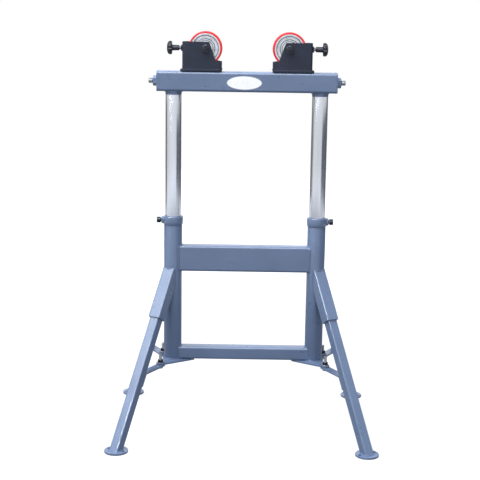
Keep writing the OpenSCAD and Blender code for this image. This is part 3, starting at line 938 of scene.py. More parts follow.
@dataclass
class Legs:
    """Four splayed legs with sockets, foot pads and braces, modelled once and copied round."""

    foot_out: float = 149.0
    foot_fore: float = 273.0
    apex_z: float = 504.0
    leg_size: float = 30.0
    leg_wall: float = 2.5
    leg_r: float = 4.0
    leg_bore_r: float = 2.5
    leg_stock: float = 660.0
    leg_bore_end: float = 560.0
    leg_clear: float = 2.0
    socket_size: float = 40.0
    socket_bore: float = 32.0
    socket_r: float = 5.0
    socket_bore_r: float = 3.0
    socket_top: float = 500.0
    socket_end: float = 176.0
    foot_d: float = 70.0
    foot_t: float = 6.0
    foot_under: float = 0.5
    foot_edge: float = 1.2
    foot_nick: float = 0.35
    anchor_pitch: float = 50.0
    anchor_r: float = 5.0
    bolt_r: float = 71.0
    bolt_d: float = 10.0
    bolt_pitch: float = 1.5
    bolt_top: float = 238.0
    strip_w: float = 26.0
    strip_t: float = 5.0
    strip_top: float = 204.0
    strip_corner: float = 9.0
    bend_radii: Flat = (6.5, 1.5)
    tab_len: float = 42.0
    tab_seam: Flat = (34.0, 2.0)
    washer_t: float = 2.0
    washer_lap: float = 0.5
    nut_t: float = 8.0
    head_t: float = 6.4
    socket_bead: float = 1.3
    foot_bead: float = 1.7
    tab_bead: float = 1.5
    bead_lap: float = 0.6
    bead_out: float = 0.4
    foot_bead_up: float = 0.5
    tab_bead_out: Flat = (0.3, 0.2)

    def __post_init__(self) -> None:
        """Works out the slope and the place of each leg."""
        self.reach = math.hypot(self.foot_out, self.foot_fore)
        azimuth = math.atan2(self.foot_fore, self.foot_out)
        self.tau = math.atan2(self.reach, self.apex_z - self.foot_t)
        self.places: dict[str, Matrix] = {}
        for side in Side:
            for end in End:
                turn = end.value * azimuth
                if side is Side.LEFT:
                    turn = math.pi - turn
                self.places[f"{end.letter}{side.letter}"] = shift(side.value * LEVELS.post_x) @ spun(turn)
        self.slope = shift(z=self.apex_z) @ Matrix.Rotation(-self.tau, 4, "Y")
        sin, cos = math.sin(self.tau), math.cos(self.tau)
        half = self.leg_size / 2
        self.leg_start = (LEVELS.tube_od / 2 + self.leg_clear + half * cos) / sin
        self.tab_start = (self.apex_z - self.strip_top - half * sin) / cos
        self.tab_end = self.tab_start + self.tab_len
        self.strip_low = self.strip_top - self.strip_t

    def build(self) -> None:
        """Builds the legs and what holds them."""
        self.spread_out(self.socket(), "leg_socket", "socket")
        self.spread_out(self.leg(), "leg_tube", "leg")
        self.spread_out(self.foot(), "foot_pad", "foot")
        self.spread_out(self.brace(), "brace_strip", "brace")
        self.spread_out(self.seams(), "leg_weld_beads")
        self.bolts()

    def spread_out(self, model: Thing, name: str, node: str = "") -> None:
        """Copies a piece modelled in a leg's own plane to the four legs.

        Args:
            model: Piece with X pointing outward from the post's axis.
            name: First part of the piece names.
            node: First part of the CAD node names, if it stands for nodes.
        """
        for key, piece in zip(self.places, copied(model, list(self.places.values()))):
            nodes = [f"{node}_{key}"] if node else []
            dress(f"{name}_{key}", [piece], "frame", ENAMEL, *nodes)

    def square(self, size: float, radius: float, start: float, end: float) -> Thing:
        """Makes a square bar down the leg's slope.

        Args:
            size: Its width.
            radius: Radius of its long edges.
            start: Distance from the apex at which it starts.
            end: Distance from the apex at which it ends.

        Returns:
            The bar.
        """
        bar = box((size, size, end - start), (0, 0, -(start + end) / 2))
        round_edges(bar, 2, radius, segments=5)
        return settle(bar, self.slope)

    def slice(self, thing: Thing, at: Spot, way: Spot) -> None:
        """Cuts away what lies ahead of a plane and closes the cut.

        Args:
            thing: Piece to cut.
            at: A point of the plane, in millimetres.
            way: The plane's direction.
        """
        open_up(thing)
        bpy.ops.mesh.bisect(plane_co=[c * MM for c in at], plane_no=way, use_fill=True, clear_outer=True)
        bpy.ops.object.mode_set(mode="OBJECT")

    def socket(self) -> Thing:
        """Makes the socket tube, cut level at its top and coped to the lower tube.

        Returns:
            The socket.
        """
        socket = self.square(self.socket_size, self.socket_r, 0, self.socket_end)
        carve(socket, self.square(self.socket_bore, self.socket_bore_r, -OVER, self.socket_end + OVER))
        self.slice(socket, (0, 0, self.socket_top), (0, 0, 1))
        self.slice(socket, (0, 0, 0), (-1, 0, 0))
        drill(socket, LEVELS.tube_od / 2 - LEVELS.sink, (LEVELS.frame_z, LEVELS.collar_top))
        return ease(socket, width=0.5)

    def leg(self) -> Thing:
        """Makes the leg tube, cut level on its foot pad.

        Returns:
            The leg.
        """
        leg = self.square(self.leg_size, self.leg_r, self.leg_start, self.leg_stock)
        self.slice(leg, (0, 0, self.foot_t), (0, 0, -1))
        carve(leg, self.square(self.leg_size - 2 * self.leg_wall, self.leg_bore_r, 0, self.leg_bore_end))
        return ease(leg, width=0.4)

    def foot(self) -> Thing:
        """Makes the foot pad with its two anchor holes.

        Returns:
            The pad.
        """
        r, t, nick = self.foot_d / 2, self.foot_t, self.foot_nick
        profile = [(0, 0), (0, r - self.foot_under), (self.foot_under, r), (t - self.foot_edge, r),
                   (t - nick, r - nick), (t, r - self.foot_edge), (t, 0)]
        foot = turned(profile, shift(self.reach), TUBE)
        for end in End:
            drill(foot, self.anchor_r, (0, t), self.reach, end.value * self.anchor_pitch / 2, HOLE)
        return ease(foot, width=0.35, segments=1)

    def on_leg(self, along: float, inward: float) -> Flat:
        """Place in the leg's plane by distance from the apex and offset toward the post."""
        return (along * math.sin(self.tau) - inward * math.cos(self.tau),
                self.apex_z - along * math.cos(self.tau) - inward * math.sin(self.tau))

    def brace(self) -> Thing:
        """Makes the brace strip with its tab bent down along the leg.

        Returns:
            The strip.
        """
        inner, outer = self.leg_size / 2, self.leg_size / 2 + self.strip_t
        low, first = self.strip_low, self.bolt_r - self.strip_w / 2
        bend = (self.apex_z - low - outer * math.sin(self.tau)) / math.cos(self.tau)
        outline = fillet([(first, self.strip_top), self.on_leg(self.tab_start, inner),
                          self.on_leg(self.tab_end, inner), self.on_leg(self.tab_end, outer),
                          self.on_leg(bend, outer), (first, low)],
                         [0, self.bend_radii[0], 0, 0, self.bend_radii[1], 0])
        stand = Matrix(((1, 0, 0, 0), (0, 0, -1, self.strip_w / 2 * MM), (0, 1, 0, 0), (0, 0, 0, 1)))
        strip = pressed(outline, self.strip_w, stand)
        round_edges(strip, 2, self.strip_corner, segments=6, before=first + 1)
        drill(strip, self.bolt_d / 2 + ROOM, (low, self.strip_top), self.bolt_r, sides=HOLE)
        return ease(strip, width=0.6)

    def seams(self) -> Thing:
        """Lays the weld beads of a socket, a foot and a brace tab.

        Returns:
            The beads of one leg.
        """
        radius, sin, cos = LEVELS.tube_od / 2, math.sin(self.tau), math.cos(self.tau)
        top, foot = [], []
        for u, v in dense(rounded_square(*[self.socket_size + self.bead_lap] * 2, self.socket_r)):
            out = math.sqrt(radius ** 2 - v * v)
            z = self.apex_z - (out - u * cos) / sin * cos + u * sin
            top.append((out + self.bead_out, v, min(z, self.socket_top + self.bead_out)))
        for u, v in rounded_square(*[self.leg_size + self.bead_lap] * 2, self.leg_r):
            along = (self.apex_z - self.foot_t + u * sin) / cos
            foot.append((along * sin + u * cos, v, self.foot_t + self.foot_bead_up))
        beads = [bead(top, self.socket_bead), bead(foot, self.foot_bead)]
        inward, side = self.leg_size / 2 + self.tab_bead_out[0], self.strip_w / 2 + self.tab_bead_out[1]
        run = [self.on_leg(self.tab_end - back, inward) for back in self.tab_seam]
        for end in End:
            beads.append(bead([(x, end.value * side, z) for x, z in run], self.tab_bead, False))
        return gathered("leg_weld_model", beads)

    def bolts(self) -> None:
        """Builds the brace bolts with their washers and nuts."""
        spots = [place @ shift(self.bolt_r) for place in self.places.values()]
        low, r, flats = self.strip_low, self.bolt_d / 2, across(self.bolt_d)
        seat = LEVELS.frame_z + self.washer_t
        bolt = gathered("bolt", [hexagon(flats, self.head_t, shift(z=low - self.head_t)),
                                 rod(r, seat - low, shift(z=low), HOLE),
                                 thread(r, self.bolt_pitch, self.bolt_top - seat, shift(z=seat))])
        nut = hexagon(flats, self.nut_t, shift(z=seat), r - BITE)
        flat = ring(r + ROOM, self.bolt_d + self.washer_lap, LEVELS.frame_z, seat, 0.3)
        washer = turned(flat, Matrix(), BOLT)
        for name, model, finish in (("bolt", bolt, ZINC), ("nut", nut, OXIDE), ("washer", washer, ZINC)):
            dress(f"brace_{name}_set", copied(model, spots), "frame", finish, f"brace_{name}s")


@dataclass
class HeightLock:
    """Welded nut, bolt and clamp pad that hold the height on each post."""

    lock_z: float = 647.0
    bolt_d: float = 12.0
    bolt_pitch: float = 1.75
    nut_start: float = 27.0
    nut_end: float = 36.0
    nut_sink: float = 0.6
    head_start: float = 38.0
    head_t: float = 12.0
    head_r: float = 9.0
    key: float = 10.0
    pad_back: float = 28.3
    tip_r: float = 5.2
    tip_chamfer: float = 1.1
    thread_lap: float = 2.0
    bead_r: float = 1.4
    bead_out: float = 0.3
    bead_points: int = 24
    bead_share: float = 1.06

    def build(self) -> None:
        """Builds both locks."""
        r, flats, collar_r = self.bolt_d / 2, across(self.bolt_d), LEVELS.collar_od / 2
        shank = self.nut_end - self.thread_lap
        nuts, seams = [], []
        for side in Side:
            post, body = side.value * LEVELS.post_x, f"lock_bolt_{side.letter}"
            at = aim((side.value, 0, 0), (post, 0, self.lock_z))
            nut = hexagon(flats, self.nut_end - self.nut_start, at @ shift(z=self.nut_start), r + ROOM)
            span = (self.lock_z - flats, self.lock_z + flats)
            nuts.append(drill(nut, collar_r - self.nut_sink, span, post))
            path = []
            for y, z in circle(flats / 2 * self.bead_share, self.bead_points):
                x = side.value * (math.sqrt(collar_r ** 2 - y * y) + self.bead_out)
                path.append((post + x, y, self.lock_z + z))
            seams.append(bead(path, self.bead_r))
            tip = screw_tip(self.pad_back, self.tip_r, self.tip_chamfer, r, shank)
            parts = [turned(tip, at, BOLT),
                     thread(r, self.bolt_pitch, self.head_start - shank, at @ shift(z=shank)),
                     self.cap_head(at @ shift(z=self.head_start))]
            dress(f"height_lock_bolt_{side.tag}", parts, body, OXIDE, body)
            keep(f"lock_pad_{side.letter}", BRASS)
        dress("height_lock_nuts", nuts, "frame", ENAMEL, "lock_nuts")
        dress("height_lock_beads", seams, "frame", ENAMEL)

    def cap_head(self, place: Matrix) -> Thing:
        """Makes a round bolt head with a hexagon socket in its end.

        Args:
            place: Seat of the head, with +Z outward.

        Returns:
            The head.
        """
        r, t, nick = self.head_r, self.head_t, 0.4
        profile = [(0, 0), (0, r - nick), (nick, r), (t - 1.3, r), (t - nick, r - nick), (t, r - 1.4), (t, 0)]
        head = turned(profile, Matrix(), DISC)
        carve(head, rod(self.key / math.sqrt(3), t, shift(z=t / 2), sides=6))
        return ease(settle(head, place), width=0.2, segments=1, angle=30)


@dataclass
class TopBeam:
    """Square beam with its end plates, set studs and the two sliding posts."""

    length: float = 540.0
    end_t: float = 5.0
    corner: float = 8.0
    wall: float = 4.0
    hollow: float = 60.0
    post_r: float = 24.0
    post_wall: float = 3.0
    post_low: float = 519.0
    post_top: float = 1084.0
    post_fit: float = 0.05
    plate_bead: float = 1.0
    plate_bead_in: float = 0.6
    post_bead: Spot = (-1.4, 1.2, 1.9)
    # Height of the post's paint skirt: its top is a weld fillet, the rest painted shade under the beam.
    skirt_h: float = 10.5
    stud_r: float = 8.0
    stud_pitch: float = 2.0
    stud_end: float = 75.0
    nut_flats: float = 27.25
    nut_t: float = 12.0
    label_at: Flat = (-8.0, 1068.0)
    label_size: Flat = (105.0, 41.0)
    label_t: float = 0.35
    label_line: float = 1.6

    def build(self) -> None:
        """Builds the beam and what is fixed to it."""
        self.tube()
        self.plates()
        self.studs()
        for side in Side:
            profile = ring(self.post_r - self.post_wall, self.post_r, self.post_low, self.post_top, 0.8)
            post = turned(profile, shift(side.value * LEVELS.post_x), WHEEL)
            dress(f"sliding_post_{side.tag}", [post], "head", CHROME, f"post_{side.letter}")
        self.label()

    def tube(self) -> None:
        """Builds the beam tube with its hollow ends and the holes for the posts."""
        size, low = LEVELS.beam_size, LEVELS.beam_z
        tube = box((self.length - 2 * self.end_t, size, size), (0, 0, LEVELS.beam_mid))
        round_edges(tube, 0, self.corner, segments=8)
        edit(tube, Select.FACE, lambda mid, way: abs(way.x) > ALONG)
        bpy.ops.mesh.inset(thickness=self.wall * MM)
        bpy.ops.mesh.extrude_region_shrink_fatten(TRANSFORM_OT_shrink_fatten={"value": -self.hollow * MM})
        bpy.ops.object.mode_set(mode="OBJECT")
        for side in Side:
            drill(tube, self.post_r + self.post_fit, (low, low + OVER), side.value * LEVELS.post_x)
        ease(tube, width=0.25, segments=1)
        dress("top_beam_tube", [tube], "head", ENAMEL, "beam")

    def plates(self) -> None:
        """Builds the end plates, the weld beads of plates and posts, and a paint skirt on each post that is
        partly weld fillet and partly painted shade under the beam.
        """
        size, r = LEVELS.beam_size, self.post_r
        rise, out, bead_r = self.post_bead
        fit = r + self.post_fit
        # Thin sleeve of frame paint on the post's top: the upper part is a weld fillet, the rest is painted
        # shade and painted reflection of the beam's underside.
        shade_and_fillet_skirt = [(-self.skirt_h, fit), (-self.skirt_h, r + 0.3), (-6, r + 0.6), (0, r + 1.4), (0, fit),
                 (-self.skirt_h, fit)]
        outline = rounded_square(*[size - self.plate_bead_in] * 2, self.corner, 6)
        seams = []
        for side in Side:
            post = side.value * LEVELS.post_x
            at = (side.value * (self.length - self.end_t) / 2, 0, LEVELS.beam_mid)
            plate = box((self.end_t, size, size), at)
            round_edges(plate, 0, self.corner, segments=8)
            ease(plate, width=1.2, segments=3)
            dress(f"beam_end_plate_{side.tag}", [plate], "head", ENAMEL, f"end_plate_{side.letter}")
            seat = side.value * (self.length / 2 - self.end_t)
            seams += [bead([(seat, y, z + LEVELS.beam_mid) for y, z in outline], self.plate_bead),
                      bead([(post + x, y, LEVELS.beam_z + rise) for x, y in circle(r + out, DISC)], bead_r),
                      # Painted shade: the skirt darkens the post's top where the beam shades it.
                      turned(shade_and_fillet_skirt, shift(post, 0, LEVELS.beam_z), CUT, 60)]
        dress("beam_weld_beads", seams, "head", ENAMEL)

    def studs(self) -> None:
        """Builds the set studs and the nuts welded on the end plates."""
        studs, nuts = [], []
        r, face, end = self.stud_r, self.length / 2 - LEVELS.post_x, self.stud_end
        for side in Side:
            at = aim((side.value, 0, 0), (side.value * LEVELS.post_x, 0, LEVELS.beam_mid))
            studs += [rod(r, face - self.post_r, at @ shift(z=self.post_r), BOLT),
                      thread(r, self.stud_pitch, end - face - 1, at @ shift(z=face)),
                      turned([(end - 1, 0), (end - 1, r - 0.9), (end, r - 1.9), (end, 0)], at, BOLT)]
            nuts.append(hexagon(self.nut_flats, self.nut_t, at @ shift(z=face), r - ROOM))
        dress("set_stud_pair", studs, "head", ZINC, "set_studs")
        dress("set_nut_pair", nuts, "head", ENAMEL, "set_nuts")

    def label(self) -> None:
        """Builds the blank oval on the front of the beam, with a line of four-sided faces round it."""
        deselect()
        bpy.ops.mesh.primitive_circle_add(vertices=TUBE, radius=0.5, fill_type="NGON",
                                          rotation=(math.pi / 2, 0, 0))
        oval = bpy.context.active_object
        oval.scale = (self.label_size[0] * MM, self.label_size[1] * MM, 1)
        oval.location = (self.label_at[0] * MM, -LEVELS.beam_size / 2 * MM, self.label_at[1] * MM)
        settle(oval)
        edit(oval, Select.FACE, lambda mid, way: True)
        bpy.ops.mesh.extrude_region_move(TRANSFORM_OT_translate={"value": (0, -self.label_t * MM, 0)})
        bpy.ops.mesh.inset(thickness=self.label_line * MM)
        close_up(oval)
        dress("blank_oval_label", [oval], "head", VINYL)
        oval.data.materials.append(VINYL_LINE.material)
        for face in oval.data.polygons:
            face.material_index = int(len(face.vertices) == 4)


@dataclass
class RollerBracket:
    """Black bracket of one roller: base, folded shell, lip and the nut of the brake screw."""

    side: Side
    wall_in: float = 49.0
    wall_out: float = 68.5
    base_lap: float = 6.0
    base_d: float = 60.0
    base_t: float = 6.0
    base_r: float = 8.0
    shell_w: float = 56.0
    shell_edge: float = 0.9
    fold_r: float = 7.0
    open_r: float = 4.0
    bead_r: float = 1.5
    bead_out: float = 0.2
    brake_d: float = 10.0
    brake_nut_t: float = 5.0

    def build(self) -> None:
        """Builds the bracket's pieces."""
        s = self.side
        outline = rounded_square(self.wall_in + self.wall_out + self.base_lap, self.base_d, self.base_r, 6)
        middle = s.value * (LEVELS.axle_x + (self.wall_out + self.base_lap - self.wall_in) / 2)
        base = pressed(outline, self.base_t, shift(middle, 0, LEVELS.plate_top - self.base_t))
        ease(base, width=1.0, segments=3)
        pieces = [("foot", base, "base")]
        for name, node in (("walls", "shell"), ("end_lip", "lip")):
            pieces.append((name, eased_node(f"bracket_{node}_{s.letter}", self.shell_edge, segments=3), node))
        for name, piece, node in pieces:
            dress(f"bracket_{name}_{s.tag}", [piece], "head", POWDER, f"bracket_{node}_{s.letter}")
        half, out = self.shell_w / 2 + self.bead_out, self.bead_out
        near, far = LEVELS.axle_x - self.wall_in - out, LEVELS.axle_x + self.wall_out + out
        run = fillet([(near, half), (far, half), (far, -half), (near, -half)],
                     [self.open_r, self.fold_r, self.fold_r, self.open_r])
        seam = bead([(s.value * x, y, LEVELS.plate_top + out) for x, y in run], self.bead_r)
        dress(f"bracket_weld_bead_{s.tag}", [seam], "head", POWDER)

    def brake_nut(self) -> Thing:
        """Makes the nut welded to the end wall.

        Returns:
            The nut.
        """
        x = self.side.value
        at = aim((x, 0, 0), (x * (LEVELS.axle_x + self.wall_out), 0, LEVELS.axle_z))
        return hexagon(across(self.brake_d), self.brake_nut_t, at, self.brake_d / 2 + ROOM)


@dataclass
class Axles:
    """Axle bolts, nuts and washers of both rollers."""

    bolt_d: float = 12.0
    bolt_pitch: float = 1.75
    wall: float = 28.0
    washer_t: float = 2.5
    nut_t: float = 10.0
    head_t: float = 7.5
    end: float = 4.0
    tip: float = 0.8

    def build(self) -> None:
        """Builds the axle hardware."""
        spots = [shift(side.value * LEVELS.axle_x, 0, LEVELS.axle_z) for side in Side]
        front, back = aim((0, -1, 0)), aim((0, 1, 0))
        seat, flats, r = self.wall + self.washer_t, across(self.bolt_d), self.bolt_d / 2
        end, tip = seat + self.nut_t + self.end, self.tip
        bolt = gathered("axle", [
            rod(r, 2 * seat, front @ shift(z=-seat), BOLT), hexagon(flats, self.head_t, back @ shift(z=seat)),
            thread(r, self.bolt_pitch, end - seat - tip, front @ shift(z=seat)),
            turned([(end - tip, 0), (end - tip, r - tip), (end, r - 2 * tip), (end, 0)], front, BOLT)])
        nut = hexagon(flats, self.nut_t, front @ shift(z=seat), r - BITE)
        flat = ring(r, self.bolt_d, 0, self.washer_t, 0.4)
        washers = gathered("washer", [turned(flat, way @ shift(z=self.wall), DISC) for way in (front, back)])
        for name, model, node in (("bolt_pair", bolt, "bolts"), ("nut_pair", nut, "nuts"),
                                  ("washer_set", washers, "washers")):
            dress(f"axle_{name}", copied(model, spots), "head", OXIDE, f"axle_{node}")
        keep("axle_sleeves", ZINC)


# Turn of the slots of each core in the photograph, in degrees.
SLOT_TURNS = {Side.LEFT: 57.0, Side.RIGHT: 108.0}


@dataclass
class Roller:
    """One roller: red tread on a silver cast core with three radial slots."""

    side: Side
    slot_turn: float
    radius: float = 50.0
    tread_t: float = 6.0
    tread_r: float = 2.4
    width: float = 40.0
    rim_t: float = 5.5
    recess: float = 4.0
    hub_r: float = 28.0
    hub_step: float = 5.0
    hub_w: float = 42.0
    seat_r: float = 16.0
    seat_lip: float = 4.0
    bearing_w: float = 10.0
    slots: int = 3
    slot_r: float = 33.5
    slot_size: Spot = (9.4, 3.6, 5.0)
    slot_sink: float = 0.8

    def build(self) -> None:
        """Builds the tread and the core, and dresses the bearings."""
        s, body = self.side, f"roller_{self.side.letter}"
        axle = (s.value * LEVELS.axle_x, 0, LEVELS.axle_z)
        at = aim((0, -1, 0), axle)
        half, core_r = self.width / 2, self.radius - self.tread_t
        edge = fillet([(-half, core_r), (-half, self.radius), (half, self.radius), (half, core_r)],
                      [0, self.tread_r, self.tread_r, 0], 6)
        tread = turned([*edge, edge[0]], at, WHEEL)
        dress(f"roller_tread_{s.tag}", [tread], body, URETHANE, f"tread_{s.letter}")
        # The core's finish paints shade into the grooves at the rim, the hub and the hub step.
        finish = replace(CASTING, name=f"{CASTING.name}_{s.tag}", middle=axle,
                         grooves=(core_r - self.rim_t, self.hub_r, self.hub_r - self.hub_step))
        dress(f"roller_core_{s.tag}", [self.core(at, core_r)], body, finish, f"core_{s.letter}")
        keep(f"bearings_{s.letter}", ZINC)

    def core(self, at: Matrix, core_r: float) -> Thing:
        """Turns the core and cuts the radial slots in both faces.

        Args:
            at: Place of the axle, with +Z along it.
            core_r: Radius under the tread.

        Returns:
            The core.
        """
        rim_in, rim_h, hub_r, seat_r = core_r - self.rim_t, self.width / 2, self.hub_r, self.seat_r
        web_h, hub_h = rim_h - self.recess, self.hub_w / 2
        seat_h, step, angle = hub_h - self.bearing_w, hub_r - self.hub_step, 30
        face = [(seat_h, seat_r - self.seat_lip), (seat_h, seat_r), (hub_h - 0.6, seat_r),
                (hub_h, seat_r + 0.6), (hub_h, step - 0.8), (hub_h - 0.8, step), (rim_h - 1, step),
                (rim_h - 1, hub_r - 0.8), (rim_h - 1.8, hub_r), (web_h + 0.8, hub_r + 0.3),
                (web_h, hub_r + 1.2), (web_h, rim_in - 1), (web_h + 1, rim_in), (rim_h - 0.7, rim_in),
                (rim_h, rim_in + 0.7), (rim_h, core_r - 0.6), (rim_h - 0.3, core_r - 0.02)]
        core = turned([*face, *[(-z, r) for z, r in reversed(face)], face[0]], Matrix(), WHEEL, angle)
        for slot in range(self.slots):
            place = spun(math.radians(self.slot_turn) + slot * TURN / self.slots) @ shift(x=self.slot_r)
            for end in End:
                notch = box(self.slot_size, (0, 0, end.value * (web_h - self.slot_sink)))
                carve(core, settle(notch, place))
        return smooth(settle(core, at), angle)


@dataclass
class BrakeScrew:
    """Star knob, stud and pad that hold one roller still."""

    side: Side
    pad_face: float = 53.8
    pad_back: float = 58.8
    pad_r: float = 9.0
    pad_bore: Flat = (2.3, 2.8)
    stud_r: float = 5.0
    stud_pitch: float = 1.5
    shank_r: float = 4.9
    shank: float = 2.0
    tip_r: float = 4.4
    tip_chamfer: float = 0.9
    neck_start: float = 78.0
    neck_lap: float = 1.0
    head_start: float = 100.0
    neck_r: float = 8.0
    knob_r: float = 20.5
    knob_t: float = 15.0
    lobes: int = 8
    scallop_r: float = 5.5
    scallop_out: float = 2.0
    scallop_over: float = 3.0

    def build(self) -> None:
        """Builds the knob, the stud and the pad."""
        s, knob_body, pad_body = self.side, f"brake_knob_{self.side.letter}", f"brake_pad_{self.side.letter}"
        at = aim((s.value, 0, 0), (s.value * LEVELS.axle_x, 0, LEVELS.axle_z))
        knob = settle(self.knob(), at @ shift(z=self.head_start))
        dress(f"star_knob_{s.tag}", [knob], knob_body, MOULDED, knob_body)
        face, back, r = self.pad_face, self.pad_back, self.pad_r
        full = back + self.shank
        tip = screw_tip(back, self.tip_r, self.tip_chamfer, self.shank_r, full)
        run = self.neck_start + self.neck_lap - full
        stud = [turned(tip, at, BOLT), thread(self.stud_r, self.stud_pitch, run, at @ shift(z=full))]
        dress(f"brake_stud_{s.tag}", stud, knob_body, ZINC)
        bore, bore_r = self.pad_bore
        pad = turned([(face, 0), (face, r - 1), (face + 1, r), (back - 0.6, r), (back, r - 0.6),
                      (back, bore_r), (back - bore, bore_r), (back - bore, 0)], at, DISC)
        dress(f"brake_shoe_{s.tag}", [pad], pad_body, OXIDE, pad_body)

    def knob(self) -> Thing:
        """Makes the knob about Z, the back of its head at zero: neck, domed head and scalloped lobes.

        Returns:
            The knob.
        """
        neck, neck_r = self.neck_start - self.head_start, self.neck_r
        r, t = self.knob_r, self.knob_t
        dome = [(neck, 0), (neck, neck_r - 1), (neck + 1, neck_r), (-3, neck_r + 0.4), (-0.8, neck_r + 1.2),
                (0, neck_r + 3), (0, r - 3.2), (0.8, r - 1.2), (2.8, r), (0.45 * t, r), (0.62 * t, r - 1.0),
                (0.8 * t, r - 3.6), (0.93 * t, r - 8), (t, r / 2 - 3), (t, 0)]
        knob = turned(dome, Matrix(), KNOB, 50)
        scallop = rod(self.scallop_r, t + 2 * self.scallop_over,
                      shift(x=r + self.scallop_out, z=-self.scallop_over), HOLE)
        cuts = copied(scallop, [spun(k * TURN / self.lobes) for k in range(self.lobes)])
        carve(knob, gathered("scallops", cuts))
        return ease(knob, width=0.9, segments=3, angle=40)


@dataclass(frozen=True)
class Lamp:
    """A soft square lamp, in metres and watts, that either lights or only gleams in reflections."""

    name: str
    at: Spot
    size: float
    power: float
    gleam: bool = False
    target: Spot = (0.0, 0.0, 0.7)
    spread: float = 180.0

    def build(self) -> None:
        """Hangs the lamp and turns it to its target."""
        data = bpy.data.lights.new(self.name, "AREA")
        data.size = self.size
        data.energy = self.power
        data.spread = math.radians(self.spread)
        lamp = bpy.data.objects.new(self.name, data)
        lamp.location = self.at
        lamp.visible_glossy = self.gleam
        lamp.visible_diffuse = not self.gleam
        lamp.rotation_euler = (Vector(self.target) - Vector(self.at)).to_track_quat("-Z", "Y").to_euler()
        bpy.context.scene.collection.objects.link(lamp)


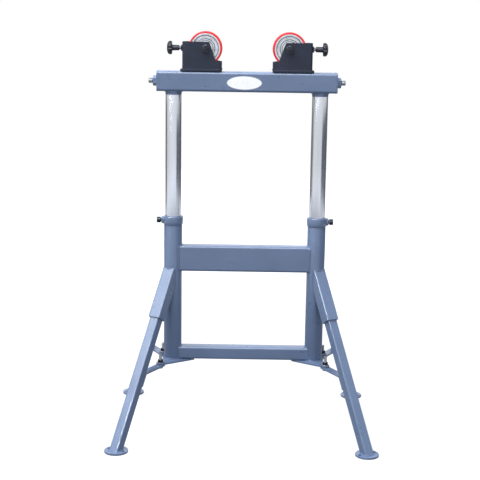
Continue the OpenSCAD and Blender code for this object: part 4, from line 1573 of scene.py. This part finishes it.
@dataclass
class Studio:
    """Camera at the photograph's angle, soft light, a floor that shows white and reflection cards.

    The camera's place is in millimetres, its angles in radians, its focal length in the photograph's pixels.
    The floor's ramps are a near and a far distance with the brightness at each: white for the camera, shine
    for reflections. A card is a name, a span of angles from the camera's side to the right, and a colour.
    """

    camera_at: Spot = (-4.668, -3558.864, 1284.606)
    yaw: float = -0.00268
    pitch: float = 0.19362
    roll: float = 0.01469
    focal: float = 1179.73
    photo_width: float = 480.0
    sensor: float = 36.0
    soft_light: float = 0.8
    soft_colour: str = "#E9EEF8"
    floor_r: float = 6.0
    floor_drop: float = 0.0005
    floor_colour: str = "#6A6C70"
    white: tuple[Flat, Flat] = ((0.9, 0.8), (2.2, 1.0))
    shine: tuple[Flat, Flat] = ((1.1, 0.05), (2.8, 0.95))
    card_r: float = 3.0
    card_h: float = 1.3
    card_facets: int = 120
    cards: tuple[tuple[str, Flat, str], ...] = (("grey_card", (45, 165), "#63666C"),
                                                ("warm_card", (-165, -98), "#8C8982"))
    lamps: tuple[Lamp, ...] = (
        Lamp("key_lamp", (-1.2, -0.4, 4.1), 3.4, 370.0),
        Lamp("fill_lamp", (1.2, -5.0, 0.7), 3.0, 42.0),
        Lamp("back_lamp", (-1.0, 5.0, 1.0), 3.0, 40.0),
        Lamp("window_lamp", (-2.76, -1.16, 3.04), 1.6, 36.0, gleam=True),
        Lamp("sky_lamp", (-0.6, -2.5, 3.6), 2.6, 150.0, gleam=True, target=(0, 0, 0.8)),
        Lamp("strip_lamp", (-2.44, -2.48, 2.28), 0.6, 5.0, gleam=True, target=(-0.3, -0.3, 0.2), spread=30),
    )

    def build(self) -> None:
        """Sets up the whole studio."""
        self.camera()
        self.world()
        for lamp in self.lamps:
            lamp.build()
        self.floor()
        for card in self.cards:
            self.card(*card)
        bpy.context.scene.view_settings.view_transform = "Standard"

    def camera(self) -> None:
        """Places the camera from its fitted angles."""
        ahead = Vector((math.sin(self.yaw) * math.cos(self.pitch), math.cos(self.yaw) * math.cos(self.pitch),
                        -math.sin(self.pitch)))
        right = Vector((math.cos(self.yaw), -math.sin(self.yaw), 0))
        down = ahead.cross(right)
        across_frame = math.cos(self.roll) * right - math.sin(self.roll) * down
        below = math.sin(self.roll) * right + math.cos(self.roll) * down
        turn = Matrix((across_frame, -below, -ahead)).transposed().to_4x4()
        data = bpy.data.cameras.new("camera")
        data.lens = self.focal / self.photo_width * self.sensor
        data.sensor_width = self.sensor
        camera = bpy.data.objects.new("camera", data)
        camera.matrix_world = shift(*self.camera_at) @ turn
        bpy.context.scene.collection.objects.link(camera)
        bpy.context.scene.camera = camera

    def seen(self, tree: Tree) -> Socket:
        """Adds a mask that is 1 for rays that show the background: camera, glossy and transmission.

        Args:
            tree: Node tree.

        Returns:
            The mask.
        """
        path = add_node(tree, "ShaderNodeLightPath")
        mask = path.outputs["Is Camera Ray"]
        for name in ("Is Glossy Ray", "Is Transmission Ray"):
            either = {0: mask, 1: path.outputs[name]}
            mask = add_node(tree, "ShaderNodeMath", either, operation="MAXIMUM").outputs[0]
        return mask

    def world(self) -> None:
        """Lights softly from all round and shows white."""
        world = bpy.data.worlds.new("studio")
        world.use_nodes = True
        bpy.context.scene.world = world
        tree = world.node_tree
        soft = tree.nodes["Background"]
        soft.inputs["Color"].default_value = linear(self.soft_colour)
        soft.inputs["Strength"].default_value = self.soft_light
        white = add_node(tree, "ShaderNodeBackground", values={"Color": (1, 1, 1, 1), "Strength": 1.0})
        mix = add_node(tree, "ShaderNodeMixShader",
                       {0: self.seen(tree), 1: soft.outputs[0], 2: white.outputs[0]})
        tree.links.new(mix.outputs[0], tree.nodes["World Output"].inputs["Surface"])

    def floor(self) -> None:
        """Lays a grey floor that glows, so that it shows white and keeps the shadow."""
        deselect()
        bpy.ops.mesh.primitive_circle_add(vertices=WHEEL, radius=self.floor_r, fill_type="NGON",
                                          location=(0, 0, -self.floor_drop))
        floor = bpy.context.active_object
        floor.name = "studio_floor"
        material = bpy.data.materials.new("pale_floor")
        material.use_nodes = True
        tree = material.node_tree
        shader = tree.nodes["Principled BSDF"]
        shader.inputs["Base Color"].default_value = linear(self.floor_colour)
        shader.inputs["Roughness"].default_value = 0.9
        shader.inputs["Specular IOR Level"].default_value = 0.1
        spot = add_node(tree, "ShaderNodeTexCoord").outputs["Object"]
        far = add_node(tree, "ShaderNodeVectorMath", {0: spot}, operation="LENGTH").outputs["Value"]
        levels = [add_node(tree, "ShaderNodeMapRange", {"Value": far},
                           {"From Min": near, "From Max": end, "To Min": dim, "To Max": bright}).outputs[0]
                  for (near, dim), (end, bright) in (self.shine, self.white)]
        camera = add_node(tree, "ShaderNodeLightPath").outputs["Is Camera Ray"]
        level = add_node(tree, "ShaderNodeMix", {0: camera, 2: levels[0], 3: levels[1]}).outputs[0]
        strength = add_node(tree, "ShaderNodeMath", {0: level, 1: self.seen(tree)}, operation="MULTIPLY")
        glow = add_node(tree, "ShaderNodeEmission", {"Strength": strength.outputs[0]},
                        {"Color": (1, 1, 1, 1)})
        both = add_node(tree, "ShaderNodeAddShader", {0: shader.outputs[0], 1: glow.outputs[0]})
        tree.links.new(both.outputs[0], tree.nodes["Material Output"].inputs["Surface"])
        floor.data.materials.append(material)

    def card(self, name: str, span: Flat, code: str) -> None:
        """Stands a curved card that only reflections see, to shape the bright posts.

        Args:
            name: Card name.
            span: First and last angle, in degrees.
            code: Its colour.
        """
        deselect()
        bpy.ops.mesh.primitive_cylinder_add(vertices=self.card_facets, radius=self.card_r, depth=self.card_h,
                                            end_fill_type="NOTHING", location=(0, 0, self.card_h / 2))
        card = settle(bpy.context.active_object)
        card.name = name
        edit(card, Select.FACE,
             lambda mid, way: not span[0] <= math.degrees(math.atan2(mid.x, -mid.y)) <= span[1])
        bpy.ops.mesh.delete(type="FACE")
        bpy.ops.object.mode_set(mode="OBJECT")
        material = bpy.data.materials.new(name)
        material.use_nodes = True
        tree = material.node_tree
        glow = add_node(tree, "ShaderNodeEmission", values={"Color": linear(code), "Strength": 1.0})
        tree.links.new(glow.outputs[0], tree.nodes["Material Output"].inputs["Surface"])
        card.data.materials.append(material)
        card.visible_camera = card.visible_diffuse = card.visible_shadow = False


def main() -> None:
    """Builds every sub-assembly in order."""
    logging.basicConfig(level=logging.INFO, format="%(name)s: %(message)s")
    Studio().build()
    LowerFrame().build()
    Legs().build()
    HeightLock().build()
    TopBeam().build()
    brackets = [RollerBracket(side) for side in Side]
    for bracket in brackets:
        bracket.build()
    dress("brake_nut_pair", [b.brake_nut() for b in brackets], "head", POWDER, "brake_nuts")
    Axles().build()
    for side, slot_turn in SLOT_TURNS.items():
        Roller(side, slot_turn).build()
        BrakeScrew(side).build()
    deselect()


if __name__ == "__main__":
    main()
